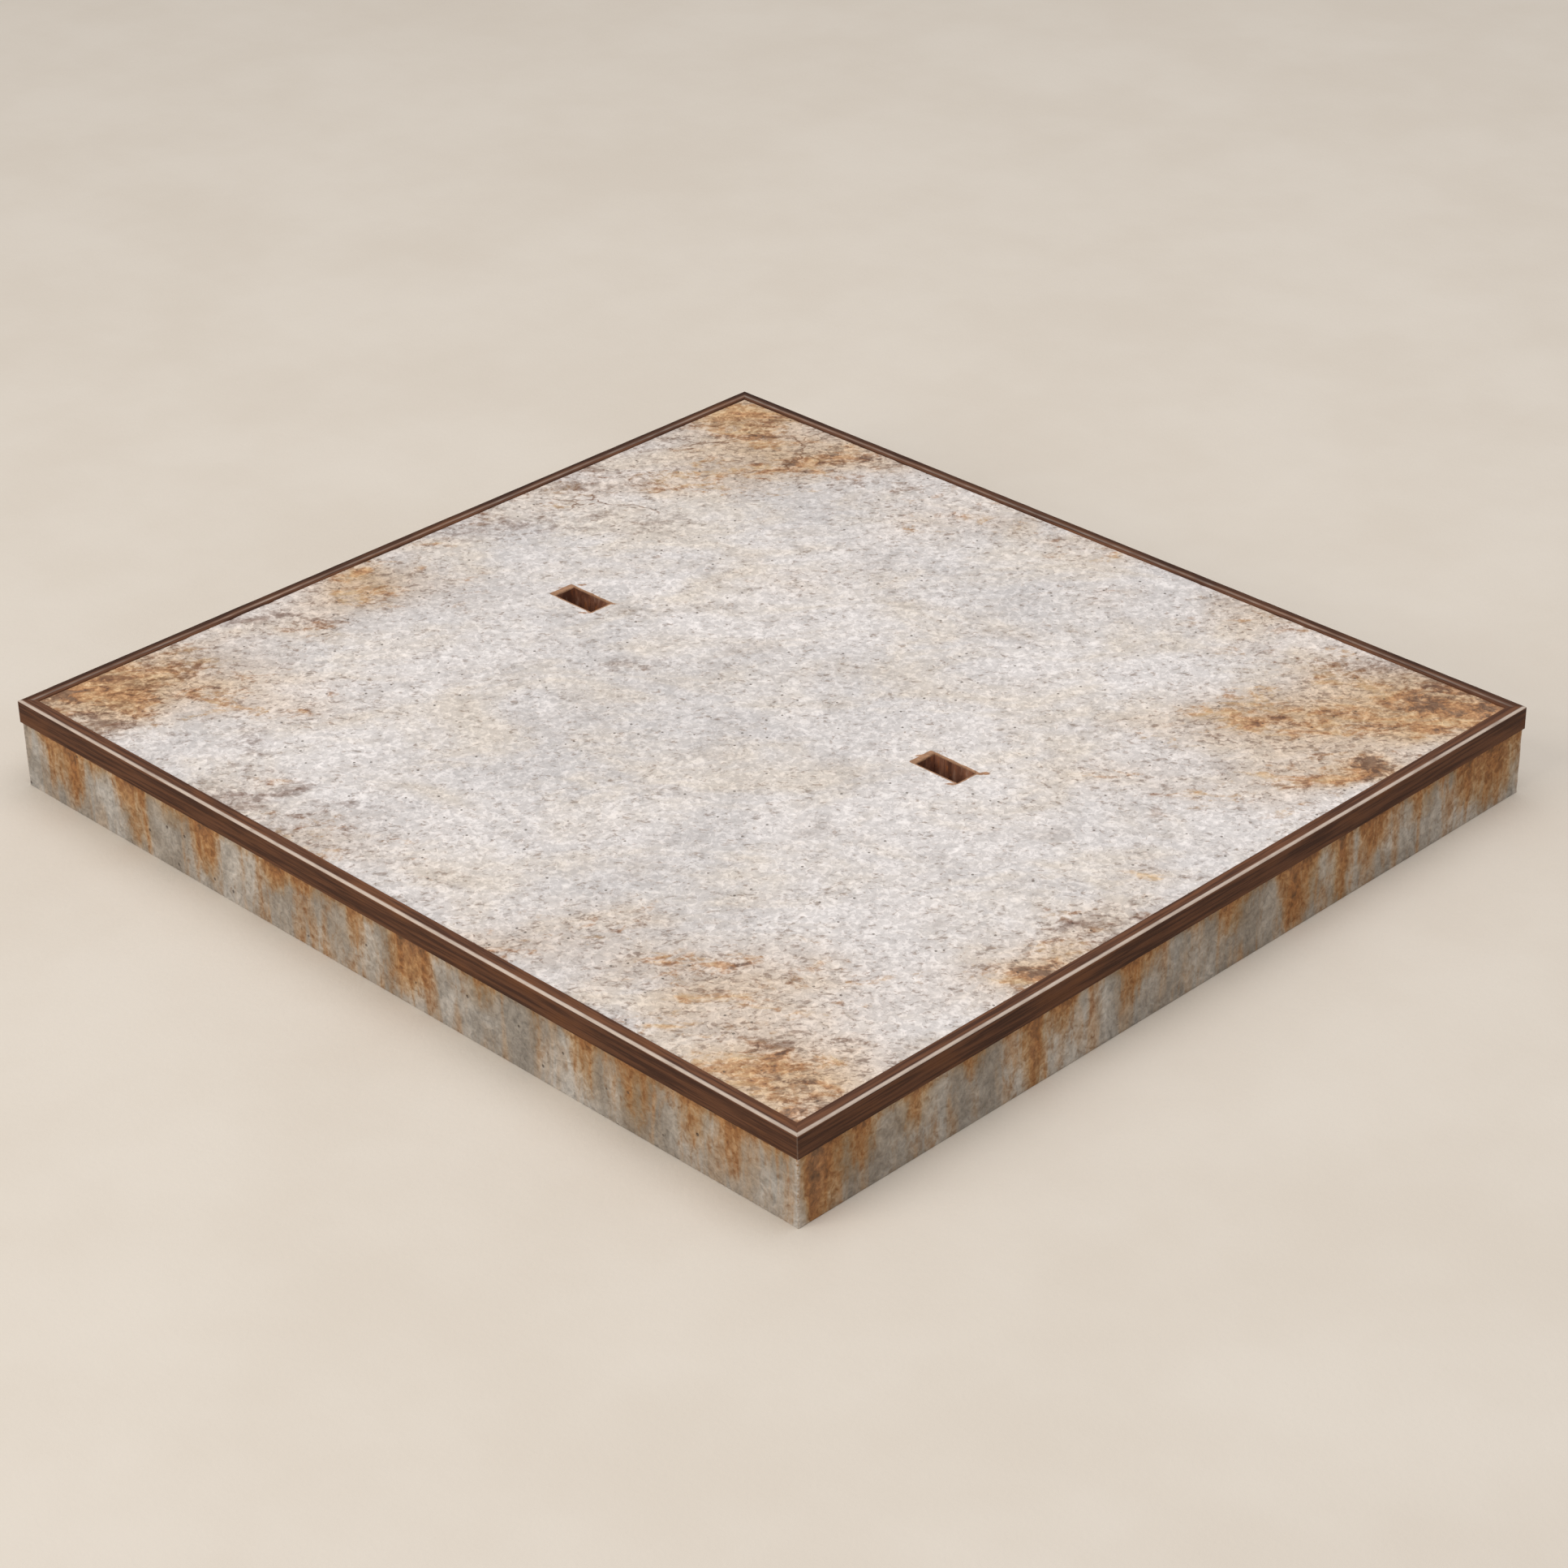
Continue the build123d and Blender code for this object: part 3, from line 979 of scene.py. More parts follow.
FRONT_DRIPS = (
    Drip(-0.318, 0.010, 0.040, 1.1, 0.10),
    Drip(-0.298, 0.009, 0.046, 1.0, 0.15),
    Drip(-0.270, 0.014, 0.016, 0.7),
    Drip(-0.236, 0.013, 0.050, 1.2, 0.08),
    Drip(-0.196, 0.012, 0.018, 0.7),
    Drip(-0.168, 0.007, 0.040, 1.0, 0.12),
    Drip(-0.156, 0.006, 0.046, 0.7),
    Drip(-0.094, 0.010, 0.022, 1.1),
    Drip(-0.070, 0.016, 0.012, 0.7),
    Drip(-0.022, 0.008, 0.030, 0.6),
    Drip(0.026, 0.010, 0.042, 1.0),
    Drip(0.040, 0.006, 0.030, 0.6),
    Drip(0.094, 0.014, 0.024, 0.9),
    Drip(0.140, 0.006, 0.040, 0.5),
    Drip(0.181, 0.012, 0.044, 1.0),
    Drip(0.222, 0.012, 0.048, 1.0),
    Drip(0.268, 0.010, 0.034, 0.8),
    Drip(0.298, 0.010, 0.040, 0.8),
    Drip(0.330, 0.010, 0.020, 0.6),
)
RIGHT_DRIPS = (
    Drip(-0.312, 0.007, 0.060, 1.3),
    Drip(-0.300, 0.014, 0.050, 1.0),
    Drip(-0.276, 0.012, 0.034, 0.8),
    Drip(-0.232, 0.012, 0.030, 0.8),
    Drip(-0.186, 0.010, 0.016, 0.6),
    Drip(-0.136, 0.007, 0.056, 1.3, 0.04),
    Drip(-0.112, 0.008, 0.022, 0.9),
    Drip(-0.052, 0.009, 0.034, 1.0),
    Drip(-0.036, 0.010, 0.020, 0.6),
    Drip(0.040, 0.010, 0.026, 0.9),
    Drip(0.094, 0.008, 0.050, 1.1, 0.05),
    Drip(0.112, 0.006, 0.040, 0.9),
    Drip(0.140, 0.005, 0.054, 1.2),
    Drip(0.172, 0.010, 0.028, 0.8),
    Drip(0.222, 0.010, 0.024, 0.6),
    Drip(0.268, 0.012, 0.036, 1.0),
    Drip(0.290, 0.014, 0.050, 1.3),
    Drip(0.312, 0.010, 0.046, 1.0),
)


@dataclass(frozen=True)
class KeyBox:
    """Sizes of one key box, read from its CAD nodes: its middle, half sizes, levels and wall."""

    x: float
    y: float
    sleeve: Vector
    plate: Vector
    pan: Vector
    levels: tuple[float, float, float, float]
    wall: float = 2 * MM

    @classmethod
    def read(cls, side: str) -> "KeyBox":
        """Reads the box on this side, "left" or "right"."""
        boxes = [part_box(f"key_{part}_{side}") for part in ("sleeve", "plate", "pan")]
        middle = (boxes[0][0] + boxes[0][1]) / 2
        halves = [(high - low) / 2 for low, high in boxes]
        levels = (boxes[0][1].z, boxes[1][1].z, boxes[1][0].z, boxes[2][0].z)
        return cls(middle.x, middle.y, *halves, levels)

    def pocket(self, top: float, lip: float) -> list[tuple[float, float, float]]:
        """Half length, half width and level of the hole in the concrete, from its rounded lip down.

        Args:
            top: the walking surface's level.
            lip: the radius of the lip.

        Returns:
            One row for each turn of the wall.
        """
        a, b = self.sleeve.x - self.wall, self.sleeve.y - self.wall
        sleeve_top, plate_top, pan_top, pan_bottom = self.levels
        turns = np.radians([90.0, 65.0, 40.0, 18.0, 0.0])
        out, down = lip * (1 - np.cos(turns)), lip * (1 - np.sin(turns))
        return [
            *zip(a + out, b + out, top - down, strict=True),
            (a, b, sleeve_top),
            (self.sleeve.x, self.sleeve.y, sleeve_top),
            (self.sleeve.x, self.sleeve.y, plate_top),
            (self.plate.x, self.plate.y, plate_top),
            (self.plate.x, self.plate.y, pan_top),
            (self.pan.x, self.pan.y, pan_top),
            (self.pan.x, self.pan.y, pan_bottom),
        ]


TOP, SIDES, HIDDEN = range(3)  # the numbers of the slab's finishes


@dataclass
class ConcreteSlab:
    """The cast slab: one closed surface, with pockets for the key boxes and the spacers."""

    swell_depth: float = 0.30 * MM
    pit_depth: float = 0.40 * MM
    scab_depth: float = 0.35 * MM
    lip_depth: float = 0.25 * MM
    stain_push: float = 13 * MM
    drip_sway: float = 3 * MM
    drip_count: int = 17
    coarse: float = 2.9 * MM
    fine: float = 1.1 * MM
    corner_radius: float = 0.9 * MM
    slot_lip: float = 0.9 * MM
    lip_margin: float = 6.0 * MM
    foot_chamfer: float = 0.8 * MM
    low: Vector = field(default_factory=lambda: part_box("concrete_slab")[0])
    high: Vector = field(default_factory=lambda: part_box("concrete_slab")[1])
    keys: tuple[KeyBox, ...] = field(default_factory=lambda: (KeyBox.read("left"), KeyBox.read("right")))

    def __post_init__(self) -> None:
        """Reads the edging's sizes and lays out the lines that every patch shares."""
        rail_low, rail_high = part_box("edge_rail_front")
        proud = self.low.y - rail_low.y
        self.flange_inset = rail_high.y - rail_low.y - proud
        self.leg_inset = EDGING_THICKNESS - proud
        self.leg_bottom = rail_low.z
        self.flange_bottom = rail_high.z - EDGING_THICKNESS
        self.spacers, self.spacer_top = self.spacer_edges()
        self.x_lines = self.lines(0)
        self.y_lines = self.lines(1)
        self.relief = Grain(11)

    def spacer_edges(self) -> tuple[tuple[Array, Array], float]:
        """Finds the edges of the spacer blocks from the feet of their CAD node.

        Returns:
            The x and the y places of the edges, rising, and the blocks' top level.
        """
        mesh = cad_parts["bar_spacers"].data
        points = np.zeros(len(mesh.vertices) * 3)
        mesh.vertices.foreach_get("co", points)
        feet = points.reshape(-1, 3)[points.reshape(-1, 3)[:, 2] < 1e-5]
        edges = tuple(np.unique(np.round(feet[:, axis], 5)) for axis in (0, 1))
        return edges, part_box("bar_spacers")[1].z

    def lines(self, axis: int) -> Array:
        """Lines across the slab: close together at its ends and at the rims of the slots."""
        half = self.high[axis]
        zones = [(-half, -half + 3 * MM, 0.7 * MM), (half - 3 * MM, half, 0.7 * MM)]
        for key in self.keys:
            middle, reach = (key.x, key.y)[axis], key.sleeve[axis] - key.wall + self.slot_lip
            for rim in (middle - reach, middle + reach):
                zones.append((rim - self.lip_margin, rim, self.fine))
                zones.append((rim, rim + self.lip_margin, self.fine))
        return graded(list(self.spacers[axis]), zones, self.coarse)

    def ring(self, inset: float, level: float) -> Array:
        """A rectangle of points round the slab, inset from its sides, counter-clockwise."""
        plan = round_rectangle(drawn_in(self.x_lines, inset), drawn_in(self.y_lines, inset))
        return at_level(plan, level)

    def add_top(self, patches: Patchwork) -> None:
        """Lays the walking surface on the lines, without the cells of the two slots."""
        x, y = drawn_in(self.x_lines, self.flange_inset), drawn_in(self.y_lines, self.flange_inset)
        plan = np.stack(np.meshgrid(x, y), axis=-1)
        grid = np.concatenate([plan, np.full((*plan.shape[:2], 1), self.high.z)], axis=-1)
        mid_x, mid_y = (x[1:] + x[:-1]) / 2, (y[1:] + y[:-1]) / 2
        keep = np.ones((len(mid_y), len(mid_x)), dtype=bool)
        for key in self.keys:
            a, b, _ = key.pocket(self.high.z, self.slot_lip)[0]
            keep &= ~((abs(mid_y - key.y) < b)[:, None] & (abs(mid_x - key.x) < a)[None, :])
        patches.add_grid(grid, TOP, keep=keep)

    def add_outside(self, patches: Patchwork) -> None:
        """Carries the section of the rim round the slab: under the edging, down the side, round the foot."""
        hidden = [
            (self.flange_inset, self.high.z),
            (self.flange_inset, self.flange_bottom),
            (self.leg_inset, self.flange_bottom),
            (self.leg_inset, self.leg_bottom),
            (0.0, self.leg_bottom),
        ]
        patches.add_grid(np.stack([self.ring(*turn) for turn in hidden]), HIDDEN, closed=True)
        levels = np.linspace(self.leg_bottom, self.foot_chamfer, 16)
        bends = [(0.25 * self.foot_chamfer, 0.35 * self.foot_chamfer), (self.foot_chamfer, 0.0)]
        seen = [*((0.0, level) for level in levels), *bends]
        patches.add_grid(np.stack([self.ring(*turn) for turn in seen]), SIDES, closed=True)

    def add_slots(self, patches: Patchwork) -> None:
        """Sinks the pockets of the key boxes: rectangles round each slot, one for each turn of the wall."""
        for key in self.keys:
            turns = key.pocket(self.high.z, self.slot_lip)
            a, b, _ = turns[0]
            x = self.x_lines[abs(self.x_lines - key.x) < a + 1e-6] - key.x
            y = self.y_lines[abs(self.y_lines - key.y) < b + 1e-6] - key.y
            rings = []
            for half_x, half_y, level in turns:
                plan = round_rectangle(x * half_x / a, y * half_y / b) + [key.x, key.y]
                rings.append(at_level(plan, level))
            grid = np.stack(rings)
            patches.add_grid(grid[:6], TOP, closed=True)
            patches.add_grid(grid[5:], HIDDEN, closed=True)
            patches.add_polygon(grid[-1], HIDDEN)

    def add_underside(self, patches: Patchwork) -> None:
        """Closes the underside with flat cells between the spacers, and sinks a pocket for each of them."""
        inset = self.foot_chamfer
        x_fine, y_fine = drawn_in(self.x_lines, inset), drawn_in(self.y_lines, inset)
        x_stops = np.concatenate([x_fine[:1], self.spacers[0], x_fine[-1:]])
        y_stops = np.concatenate([y_fine[:1], self.spacers[1], y_fine[-1:]])
        last_x, last_y = len(x_stops) - 2, len(y_stops) - 2
        for i, (x0, x1) in enumerate(zip(x_stops[:-1], x_stops[1:], strict=True)):
            for j, (y0, y1) in enumerate(zip(y_stops[:-1], y_stops[1:], strict=True)):
                if i % 2 == 1 and j % 2 == 1:
                    self.add_spacer_pocket(patches, x0, x1, y0, y1)
                    continue
                along_x = x_fine[(x_fine > x0 + 1e-6) & (x_fine < x1 - 1e-6)]
                along_y = y_fine[(y_fine > y0 + 1e-6) & (y_fine < y1 - 1e-6)]
                outline = [(x0, y0), *((x, y0) for x in along_x if j == 0), (x1, y0)]
                outline += [*((x1, y) for y in along_y if i == last_x), (x1, y1)]
                outline += [*((x, y1) for x in along_x[::-1] if j == last_y), (x0, y1)]
                outline += [(x0, y) for y in along_y[::-1] if i == 0]
                patches.add_polygon(at_level(np.array(outline), 0.0), HIDDEN)

    def add_spacer_pocket(self, patches: Patchwork, x0: float, x1: float, y0: float, y1: float) -> None:
        """Sinks a box-shaped pocket into the underside."""
        foot = np.array([(x0, y0), (x1, y0), (x1, y1), (x0, y1)])
        walls = np.stack([at_level(foot, z) for z in (0.0, self.spacer_top)])
        patches.add_grid(walls, HIDDEN, closed=True)
        patches.add_polygon(walls[1], HIDDEN)

    def slot_distance(self, plan: Array, drawn_left: float = 0.0) -> Array:
        """How far each point lies outside the nearest slot, in metres.

        Args:
            plan: rows of x and y.
            drawn_left: how far the slot's left end is taken outwards.

        Returns:
            The distances.
        """
        nearest = np.full(len(plan), 1.0)
        for key in self.keys:
            half = np.array([key.sleeve.x - key.wall + drawn_left / 2, key.sleeve.y - key.wall])
            beyond = np.maximum(np.abs(plan - [key.x - drawn_left / 2, key.y]) - half, 0.0)
            nearest = np.minimum(nearest, np.hypot(beyond[:, 0], beyond[:, 1]))
        return nearest

    def lip(self, plan: Array) -> Array:
        """Where rust shows round the slots: at their rims, fading within 2 mm, and further at the left ends.

        Faint patches lie off the corners of each slot, along the grain.

        Args:
            plan: rows of x and y.

        Returns:
            A value from 0 to 1 for each point.
        """
        rim = 0.85 * smooth(2.6 * MM - self.slot_distance(plan, 3.2 * MM), 0.0, 2.2 * MM)
        for key in self.keys:
            half = key.sleeve.x - key.wall
            for dx, dy, along, across, strength in (
                (-half - 4 * MM, 2 * MM, 8 * MM, 3.0 * MM, 0.58),
                (-half + 2 * MM, 14 * MM, 8 * MM, 3.0 * MM, 0.48),
                (half + 3 * MM, 10 * MM, 7 * MM, 2.8 * MM, 0.56),
                (half - 2 * MM, -12 * MM, 7 * MM, 2.8 * MM, 0.52),
            ):
                patch = Stain(RUST, key.x + dx, key.y + dy, along, across, strength).share(plan)
                rim = np.maximum(rim, patch)
        return rim

    def stained(self, points: Array, stains: Sequence[Stain]) -> Array:
        """Adds up stains, on points that are pushed about a little so that no oval shows."""
        push = np.column_stack([Grain(seed).layered(points, 35 * MM, 4) for seed in (21, 22)])
        plan = points[:, :2] + self.stain_push * push
        return np.sum([stain.share(plan) for stain in stains], axis=0)

    def layer(self, points: Array, mark: Mark, placed: Sequence[float], strewn: Sequence[float]) -> Array:
        """Adds up every stain of one mark.

        Args:
            points: rows of x, y, z.
            mark: which stains.
            placed: how the placed ones are spread: further along, further across, and at what share.
            strewn: the same for the strewn ones.

        Returns:
            A value from 0 up for each point.
        """
        groups = ((STAINS, placed), (strewn_stains(), strewn))
        chosen = [(stain, change) for stains, change in groups for stain in stains if stain.mark is mark]
        return self.stained(points, [stain.spread(*change) for stain, change in chosen])

    def dripped(self, points: Array) -> Array:
        """How much rust has run down the sides: a soft column for each drip, which fades towards its end.

        Args:
            points: rows of x, y, z on the slab.

        Returns:
            A value from 0 up for each point.
        """
        extra = np.random.default_rng(5)
        own_drips = {Side.FRONT: FRONT_DRIPS, Side.RIGHT: RIGHT_DRIPS}
        total = np.zeros(len(points))
        fallen = self.leg_bottom - points[:, 2]
        sway = self.drip_sway * self.relief.layered(points * [1.0, 1.0, 2.0] + 3.0, 30 * MM, 3)
        for side in Side:
            axis, sign = side.value
            reach = self.high[1 - axis]
            random_drips = tuple(
                Drip(
                    extra.uniform(-reach, reach),
                    extra.uniform(5, 13) * MM,
                    extra.uniform(12, 52) * MM,
                    extra.uniform(0.5, 1.2),
                    extra.uniform(-0.1, 0.1),
                )
                for _ in range(self.drip_count)
            )
            on_side = sign * points[:, axis] > self.high[axis] - 1 * MM
            along = points[:, 1 - axis] + sway
            for drip in own_drips.get(side, random_drips):
                across = (along - drip.place - drip.lean * fallen) / (drip.width + 1.5 * MM)
                fade = np.clip(1.0 - fallen / drip.length, 0.0, 1.0) ** 0.6
                total += np.where(on_side, drip.strength * np.exp(-(across**2)) * fade, 0.0)
            ambient = 0.16 + 0.20 * self.relief.layered(points * [1.0, 1.0, 0.5] + 6.0, 70 * MM, 2)
            under_leg = 0.30 * smooth(8 * MM - fallen, 0.0, 8 * MM)
            total += np.where(on_side, np.maximum(ambient, 0.0) + under_leg, 0.0)
        return total

    def worn(self, points: Array, rust: Array) -> Array:
        """Moves the flat surfaces in by a shallow random relief, deeper where rust has lifted the skin.

        Args:
            points: rows of x, y, z.
            rust: the note rust for each point.

        Returns:
            The moved points.
        """
        moved = points.copy()
        swell = 0.5 + 0.5 * self.relief.layered(points, 42 * MM, 3)
        pits = smooth(self.relief.layered(points + 5.0, 11 * MM, 2), 0.42, 0.95)
        scabs = smooth(self.relief.layered(points + 9.0, 7 * MM, 2), 0.0, 0.8)
        lifted = scabs * np.clip(rust, 0.0, 1.0)
        depth = self.swell_depth * swell + self.pit_depth * pits + self.scab_depth * lifted
        lip = smooth(3 * MM - self.slot_distance(points[:, :2]), 0.0, 3 * MM)
        on_top = points[:, 2] > self.high.z - 1e-6
        moved[:, 2] -= np.where(on_top, depth + self.lip_depth * lip * scabs, 0.0)
        in_height = (points[:, 2] < self.leg_bottom - 1e-6) & (points[:, 2] > self.foot_chamfer * 0.5)
        for axis in (0, 1):
            on_side = in_height & (np.abs(points[:, axis]) > self.high[axis] - 0.7 * self.corner_radius)
            moved[:, axis] -= np.where(on_side, np.sign(points[:, axis]) * 0.7 * depth, 0.0)
        return moved

    def arris(self, points: Array) -> Array:
        """1 on the upright arrises of the sides, fading within 2 mm."""
        beyond = np.array([self.high.x, self.high.y]) - np.abs(points[:, :2])
        upright = smooth(2.4 * MM - np.hypot(*np.maximum(beyond, 0.0).T), 0.0, 2.4 * MM)
        return np.where(points[:, 2] < self.leg_bottom + 1e-6, upright, 0.0)

    def build(self) -> bpy.types.Object:
        """Makes the slab, with its notes and its three finishes."""
        patches = Patchwork()
        self.add_top(patches)
        self.add_outside(patches)
        self.add_slots(patches)
        self.add_underside(patches)
        piece = Piece.of("slab_concrete", patches)
        points = piece.points
        rust = self.layer(points, RUST, (4 * MM, 5 * MM, 0.85), (2 * MM, 2 * MM, 0.6))
        halo = self.layer(points, RUST, (24 * MM, 20 * MM, 0.42), (16 * MM, 12 * MM, 0.13))
        piece.notes = {
            RUST.value: rust,
            "halo": np.clip(halo, 0.0, 1.1),
            SOOT.value: self.layer(points, SOOT, (6 * MM, 4 * MM, 1.0), (4 * MM, 2 * MM, 0.8)),
            CRAZE.value: self.stained(points, [stain for stain in STAINS if stain.mark is CRAZE]),
            "lip": self.lip(points[:, :2]),
            "drip": self.dripped(points),
            "arris": self.arris(points),
        }
        rounded = rounded_corners(points, (self.high.x, self.high.y), self.corner_radius)
        piece.points = self.worn(rounded, rust)
        finishes = [WalkingSurfaceFinish().make(), CastSideFinish().make(), HiddenConcreteFinish().make()]
        slab = piece.build(finishes)
        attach(slab, "root")
        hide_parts("concrete_slab")
        return slab


@dataclass
class EdgingRail:
    """One steel angle of the edging, mitred at both ends, with a worn and slightly wavy arris that carries a
    painted highlight.
    """

    side: Side
    thickness: float = EDGING_THICKNESS
    arris_radius: float = 1.5 * MM
    tip_radius: float = 0.8 * MM
    plan_radius: float = 0.5 * MM
    spacing: float = 3.0 * MM
    dent: float = 0.12 * MM
    fine_dent: float = 0.10 * MM

    def __post_init__(self) -> None:
        """Reads the angle's sizes from its CAD node."""
        self.node = f"edge_rail_{self.side.name.lower()}"
        axis, sign = self.side.value
        low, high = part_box(self.node)
        self.outer = high[axis] if sign > 0 else -low[axis]
        self.flange = high[axis] - low[axis]
        self.half_run = high[1 - axis]
        self.bottom, self.top = low.z, high.z

    def arc(self, centre: tuple[float, float], radius: float, start: float, end: float, count: int) -> Array:
        """Points of an arc as inset and level; angles in degrees, 0 towards the outside and 90 upwards."""
        turns = np.radians(np.linspace(start, end, count))
        return np.column_stack([centre[0] - radius * np.cos(turns), centre[1] + radius * np.sin(turns)])

    def section(self) -> Array:
        """The angle's section as rows of inset from its outer face and level, from its foot over the top."""
        r, tip, t, foot = self.arris_radius, self.tip_radius, self.thickness, 0.4 * MM
        rise = np.linspace(self.bottom + 1.5 * MM, self.top - r - 0.8 * MM, 7)
        across = np.linspace(r + 0.5 * MM, self.flange - tip - 0.6 * MM, 9)
        runs = [
            self.arc((foot, self.bottom + foot), foot, -90.0, 0.0, 3),
            np.column_stack([np.zeros(len(rise)), rise]),
            self.arc((r, self.top - r), r, 0.0, 90.0, 9),
            np.column_stack([across, np.full(len(across), self.top)]),
            self.arc((self.flange - tip, self.top - tip), tip, 90.0, 180.0, 6),
            np.array([(self.flange, self.top - t), (t, self.top - t), (t, self.bottom)]),
        ]
        return np.concatenate(runs)

    def swept(self) -> Piece:
        """Carries the section along the side.

        A point at inset d and level z stands at the side's outer face less d, and the run is shortened by d
        at both ends, which makes the mitres.

        Returns:
            The angle with straight arrises.
        """
        axis, sign = self.side.value
        section = self.section()
        half, end, fine = self.half_run, 4 * MM, 0.6 * MM
        run = graded([0.0], [(-half, end - half, fine), (half - end, half, fine)], self.spacing)
        inset = np.broadcast_to(section[:, 0][:, None], (len(section), len(run)))
        flat = np.zeros((*inset.shape, 3))
        flat[..., axis] = sign * (self.outer - inset)
        flat[..., 1 - axis] = np.stack([drawn_in(run, d) for d in section[:, 0]])
        flat[..., 2] = section[:, 1][:, None]
        patches = Patchwork()
        patches.add_grid(np.swapaxes(flat, 0, 1), 0, closed=True)
        patches.add_polygon(flat[:, 0])
        patches.add_polygon(flat[:, -1])
        return Piece.of(f"edging_{self.side.name.lower()}", patches)

    def build(self, material: bpy.types.Material) -> bpy.types.Object:
        """Makes the angle, with its notes and its dented arris.

        Args:
            material: the edging's finish.

        Returns:
            The angle.
        """
        axis, sign = self.side.value
        piece = self.swept()
        points = piece.points
        d, z = self.outer - sign * points[:, axis], points[:, 2]
        grain = Grain(31 + list(Side).index(self.side))
        wander = grain.layered(points, 26 * MM, 3)
        fine_wander = grain.layered(points + 4.0, 8 * MM, 2)
        girth = np.where(z > self.top - 1e-6, self.top - self.bottom + d, z - self.bottom)
        run_place = points[:, 1 - axis]
        own_layer = 0.37 * axis + 0.11 * sign
        # painted highlight at the mitred corners, where the upright arris catches the light, added to the
        # arris highlight
        mitre_highlight = 0.45 * smooth(np.abs(run_place) - self.half_run, -1.2 * MM, 0.0)
        highlight_and_wear = np.maximum(self.arris_highlight_and_wear(d, z), mitre_highlight) * (0.95 + 0.25 * fine_wander + 0.15 * wander)
        piece.notes = {
            "strand": np.column_stack([run_place, girth, np.full(len(points), own_layer)]),
            "worn": np.clip(highlight_and_wear, 0.0, 1.0),
            # painted shade on the outer faces and on the outer half of the rear and left flanges
            "dusk": self.shade(d, z),
        }
        cover = (self.outer, self.half_run) if axis == 0 else (self.half_run, self.outer)
        rounded = rounded_corners(points, cover, self.plan_radius)
        depth = self.dent * (0.5 + 0.5 * wander) + self.fine_dent * (0.5 + 0.5 * fine_wander)
        rounded[:, axis] -= np.where(d < self.arris_radius, sign * depth, 0.0)
        rounded[:, 2] -= np.where(z > self.top - self.arris_radius, depth, 0.0)
        piece.points = rounded
        rail = piece.build([material], crease=40.0)
        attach(rail, "root")
        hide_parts(self.node)
        return rail

    def shade(self, inset: Array, level: Array) -> Array:
        """Painted shade: how much darker the rust is painted on the outer face, and on the outer half of the
        rear and left flanges.

        Args:
            inset: distances in from the outer face.
            level: heights.

        Returns:
            A value from 0 to 1 for each point.
        """
        face = smooth(self.top - self.arris_radius - level, -1 * MM, 1 * MM) * (inset < 0.9 * self.thickness)
        if self.side in (Side.FRONT, Side.RIGHT):
            return 0.45 * face
        return np.maximum(face, smooth(0.55 * self.flange - inset, 0.0, 1.2 * MM))

    def arris_highlight_and_wear(self, inset: Array, level: Array) -> Array:
        """How pale the steel is painted, from how far round the arris a point lies: 0 outwards and 90 on the
        top.

        The front and right rails get a painted highlight, partly worn steel, from the middle of the arris to
        a little way onto the top. The rear and left rails are worn low on the arris, and get a fainter
        painted highlight along a line near the flange's inner edge.

        Args:
            inset: distances in from the outer face.
            level: heights.

        Returns:
            A value from 0 to 1 for each point.
        """
        r = self.arris_radius
        turn = np.degrees(np.arctan2(level - (self.top - r), np.maximum(r - inset, 1e-9)))
        on_top = level > self.top - self.tip_radius - 1e-6
        if self.side in (Side.FRONT, Side.RIGHT):
            arc = smooth(turn, 15.0, 80.0) * (inset < r)
            return np.maximum(arc, on_top * smooth(self.thickness - inset, 0.0, 1.5 * MM))
        low_arc = 0.8 * smooth(turn, -5.0, 15.0) * smooth(-turn, -60.0, -40.0) * (inset < r)
        line = smooth(inset, 4.4 * MM, 6.6 * MM) * smooth(self.flange - 1.2 * MM - inset, 0.0, 1.1 * MM)
        return np.maximum(low_arc, 0.42 * line * on_top)


class CarriedNodes:
    """CAD nodes that keep their own shape and get a finish."""

    def dress(self) -> None:
        """Gives each shown CAD node the finish of its kind."""
        key_steel = KeySteelFinish().make()
        bar_steel = BarSteelFinish().make()
        mortar = HiddenConcreteFinish(Tint(190, 184, 174), Tint(168, 160, 150)).make("spacer_mortar")
        weld_steel = KeySteelFinish(Tint(104, 68, 52), Tint(68, 42, 32), Tint(130, 78, 48)).make("weld_rust")
        finishes = {
            "key_": key_steel,
            "mat_": bar_steel,
            "edge_anchors": bar_steel,
            "bar_spacers": mortar,
            "corner_welds": weld_steel,
        }
        for name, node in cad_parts.items():
            for start, material in finishes.items():
                if name.startswith(start):
                    node.data.materials.clear()
                    node.data.materials.append(material)
                    log.info("%s wears %s", name, material.name)


# ---------------------------------------------------------------- the studio


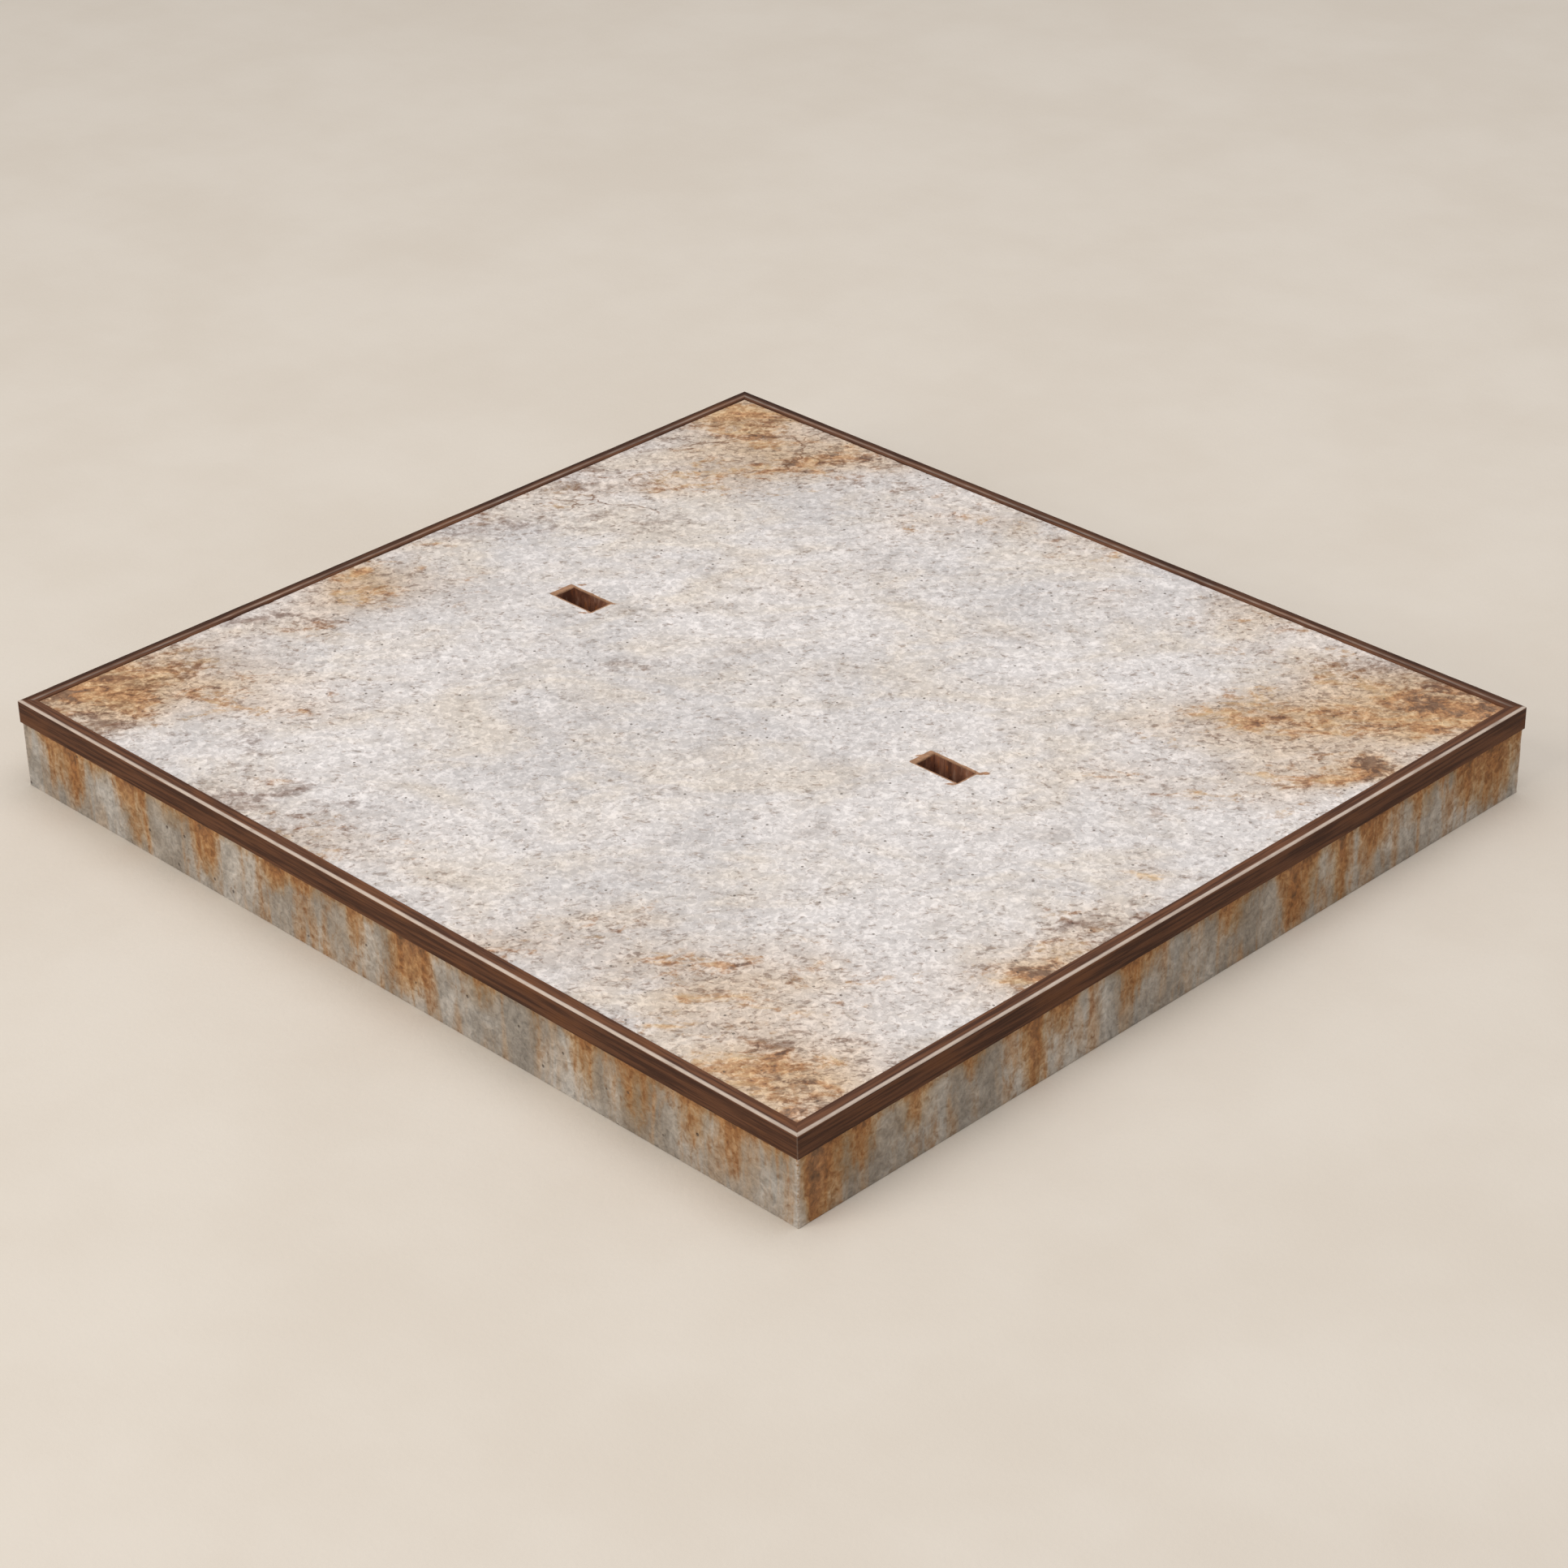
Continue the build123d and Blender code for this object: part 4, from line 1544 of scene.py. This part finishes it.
@dataclass(frozen=True)
class Studio:
    """Plain pale floor, soft light and the camera."""

    azimuth: float = 45.474
    elevation: float = 29.906
    roll: float = -1.016
    distance: float = 2.482
    aim: tuple[float, float, float] = (0.0779, -0.0625, 0.060)
    lens: float = 93.26
    floor_reach: float = 9.0
    floor_tint: Tint = Tint(226, 216, 202)
    floor_shade: Tint = Tint(221, 210, 195)
    sky_tint: Tint = Tint(250, 250, 252)
    sky_strength: float = 0.47

    def add_camera(self) -> None:
        """Stands the camera at its azimuth and elevation about the aim, rolled about its own axis."""
        a, e, r = (math.radians(v) for v in (self.azimuth, self.elevation, self.roll))
        back = Vector((math.sin(a) * math.cos(e), -math.cos(a) * math.cos(e), math.sin(e)))
        right = Vector((math.cos(a), math.sin(a), 0.0))
        up = back.cross(right)
        tilted_right = right * math.cos(r) + up * math.sin(r)
        tilted_up = up * math.cos(r) - right * math.sin(r)
        camera = bpy.data.cameras.new("camera")
        camera.lens = self.lens
        camera.sensor_width = 36.0
        camera.clip_end = 50.0
        viewer = bpy.data.objects.new("camera", camera)
        axes = Matrix((tilted_right, tilted_up, back)).transposed().to_4x4()
        axes.translation = Vector(self.aim) + back * self.distance
        viewer.matrix_world = axes
        bpy.context.scene.collection.objects.link(viewer)
        bpy.context.scene.camera = viewer

    def add_light(self, name: str, place: Vector, size: float, power: float, tint: Tint) -> None:
        """Hangs a square lamp that faces the cover.

        Args:
            name: the lamp's name.
            place: where it hangs.
            size: its side.
            power: watts.
            tint: its colour.
        """
        lamp = bpy.data.lights.new(name, "AREA")
        lamp.shape = "SQUARE"
        lamp.size = size
        lamp.energy = power
        lamp.color = tint.linear()[:3]
        holder = bpy.data.objects.new(name, lamp)
        holder.location = place
        holder.rotation_euler = (Vector((0.0, 0.0, 0.03)) - place).to_track_quat("-Z", "Y").to_euler()
        bpy.context.scene.collection.objects.link(holder)

    def add_floor(self) -> None:
        """Lays the floor that the cover stands on."""
        shader = Shader("studio_floor")
        at = shader.position()
        cloud = shader.noise(at, 5.0, detail=4.0, roughness=0.6)
        crumb = shader.noise(at, 260.0, detail=3.0, roughness=0.6)
        color = shader.mix(cloud.step(0.3, 0.7), self.floor_tint, self.floor_shade)
        shader.finish(color, 0.95, crumb, 0.25 * MM, Specular_IOR_Level=0.1)
        patches = Patchwork()
        patches.add_polygon(self.floor_reach * np.array([(-1, -1, 0), (1, -1, 0), (1, 1, 0), (-1, 1, 0)]))
        Piece.of("studio_floor", patches).build([shader.material])

    def build(self) -> None:
        """Sets up the whole studio."""
        scene = bpy.context.scene
        scene.view_settings.view_transform = "Standard"
        world = bpy.data.worlds.new("soft_sky")
        world.use_nodes = True
        background = world.node_tree.nodes["Background"]
        background.inputs["Color"].default_value = self.sky_tint.linear()
        background.inputs["Strength"].default_value = self.sky_strength
        scene.world = world
        self.add_camera()
        self.add_light("key_lamp", Vector((-0.5, -3.3, 2.3)), size=2.5, power=54.0, tint=Tint(255, 250, 243))
        self.add_light("top_lamp", Vector((0.3, 0.3, 3.4)), size=3.0, power=58.0, tint=Tint(250, 251, 255))
        self.add_floor()


def main() -> None:
    """Builds the cover and the studio."""
    logging.basicConfig(level=logging.INFO, format="%(message)s")
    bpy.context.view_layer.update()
    slab = ConcreteSlab().build()
    log.info("built %s", slab.name)
    edging = EdgingFinish().make()
    for side in Side:
        rail = EdgingRail(side).build(edging)
        log.info("built %s", rail.name)
    CarriedNodes().dress()
    Studio().build()


if __name__ == "__main__":
    main()
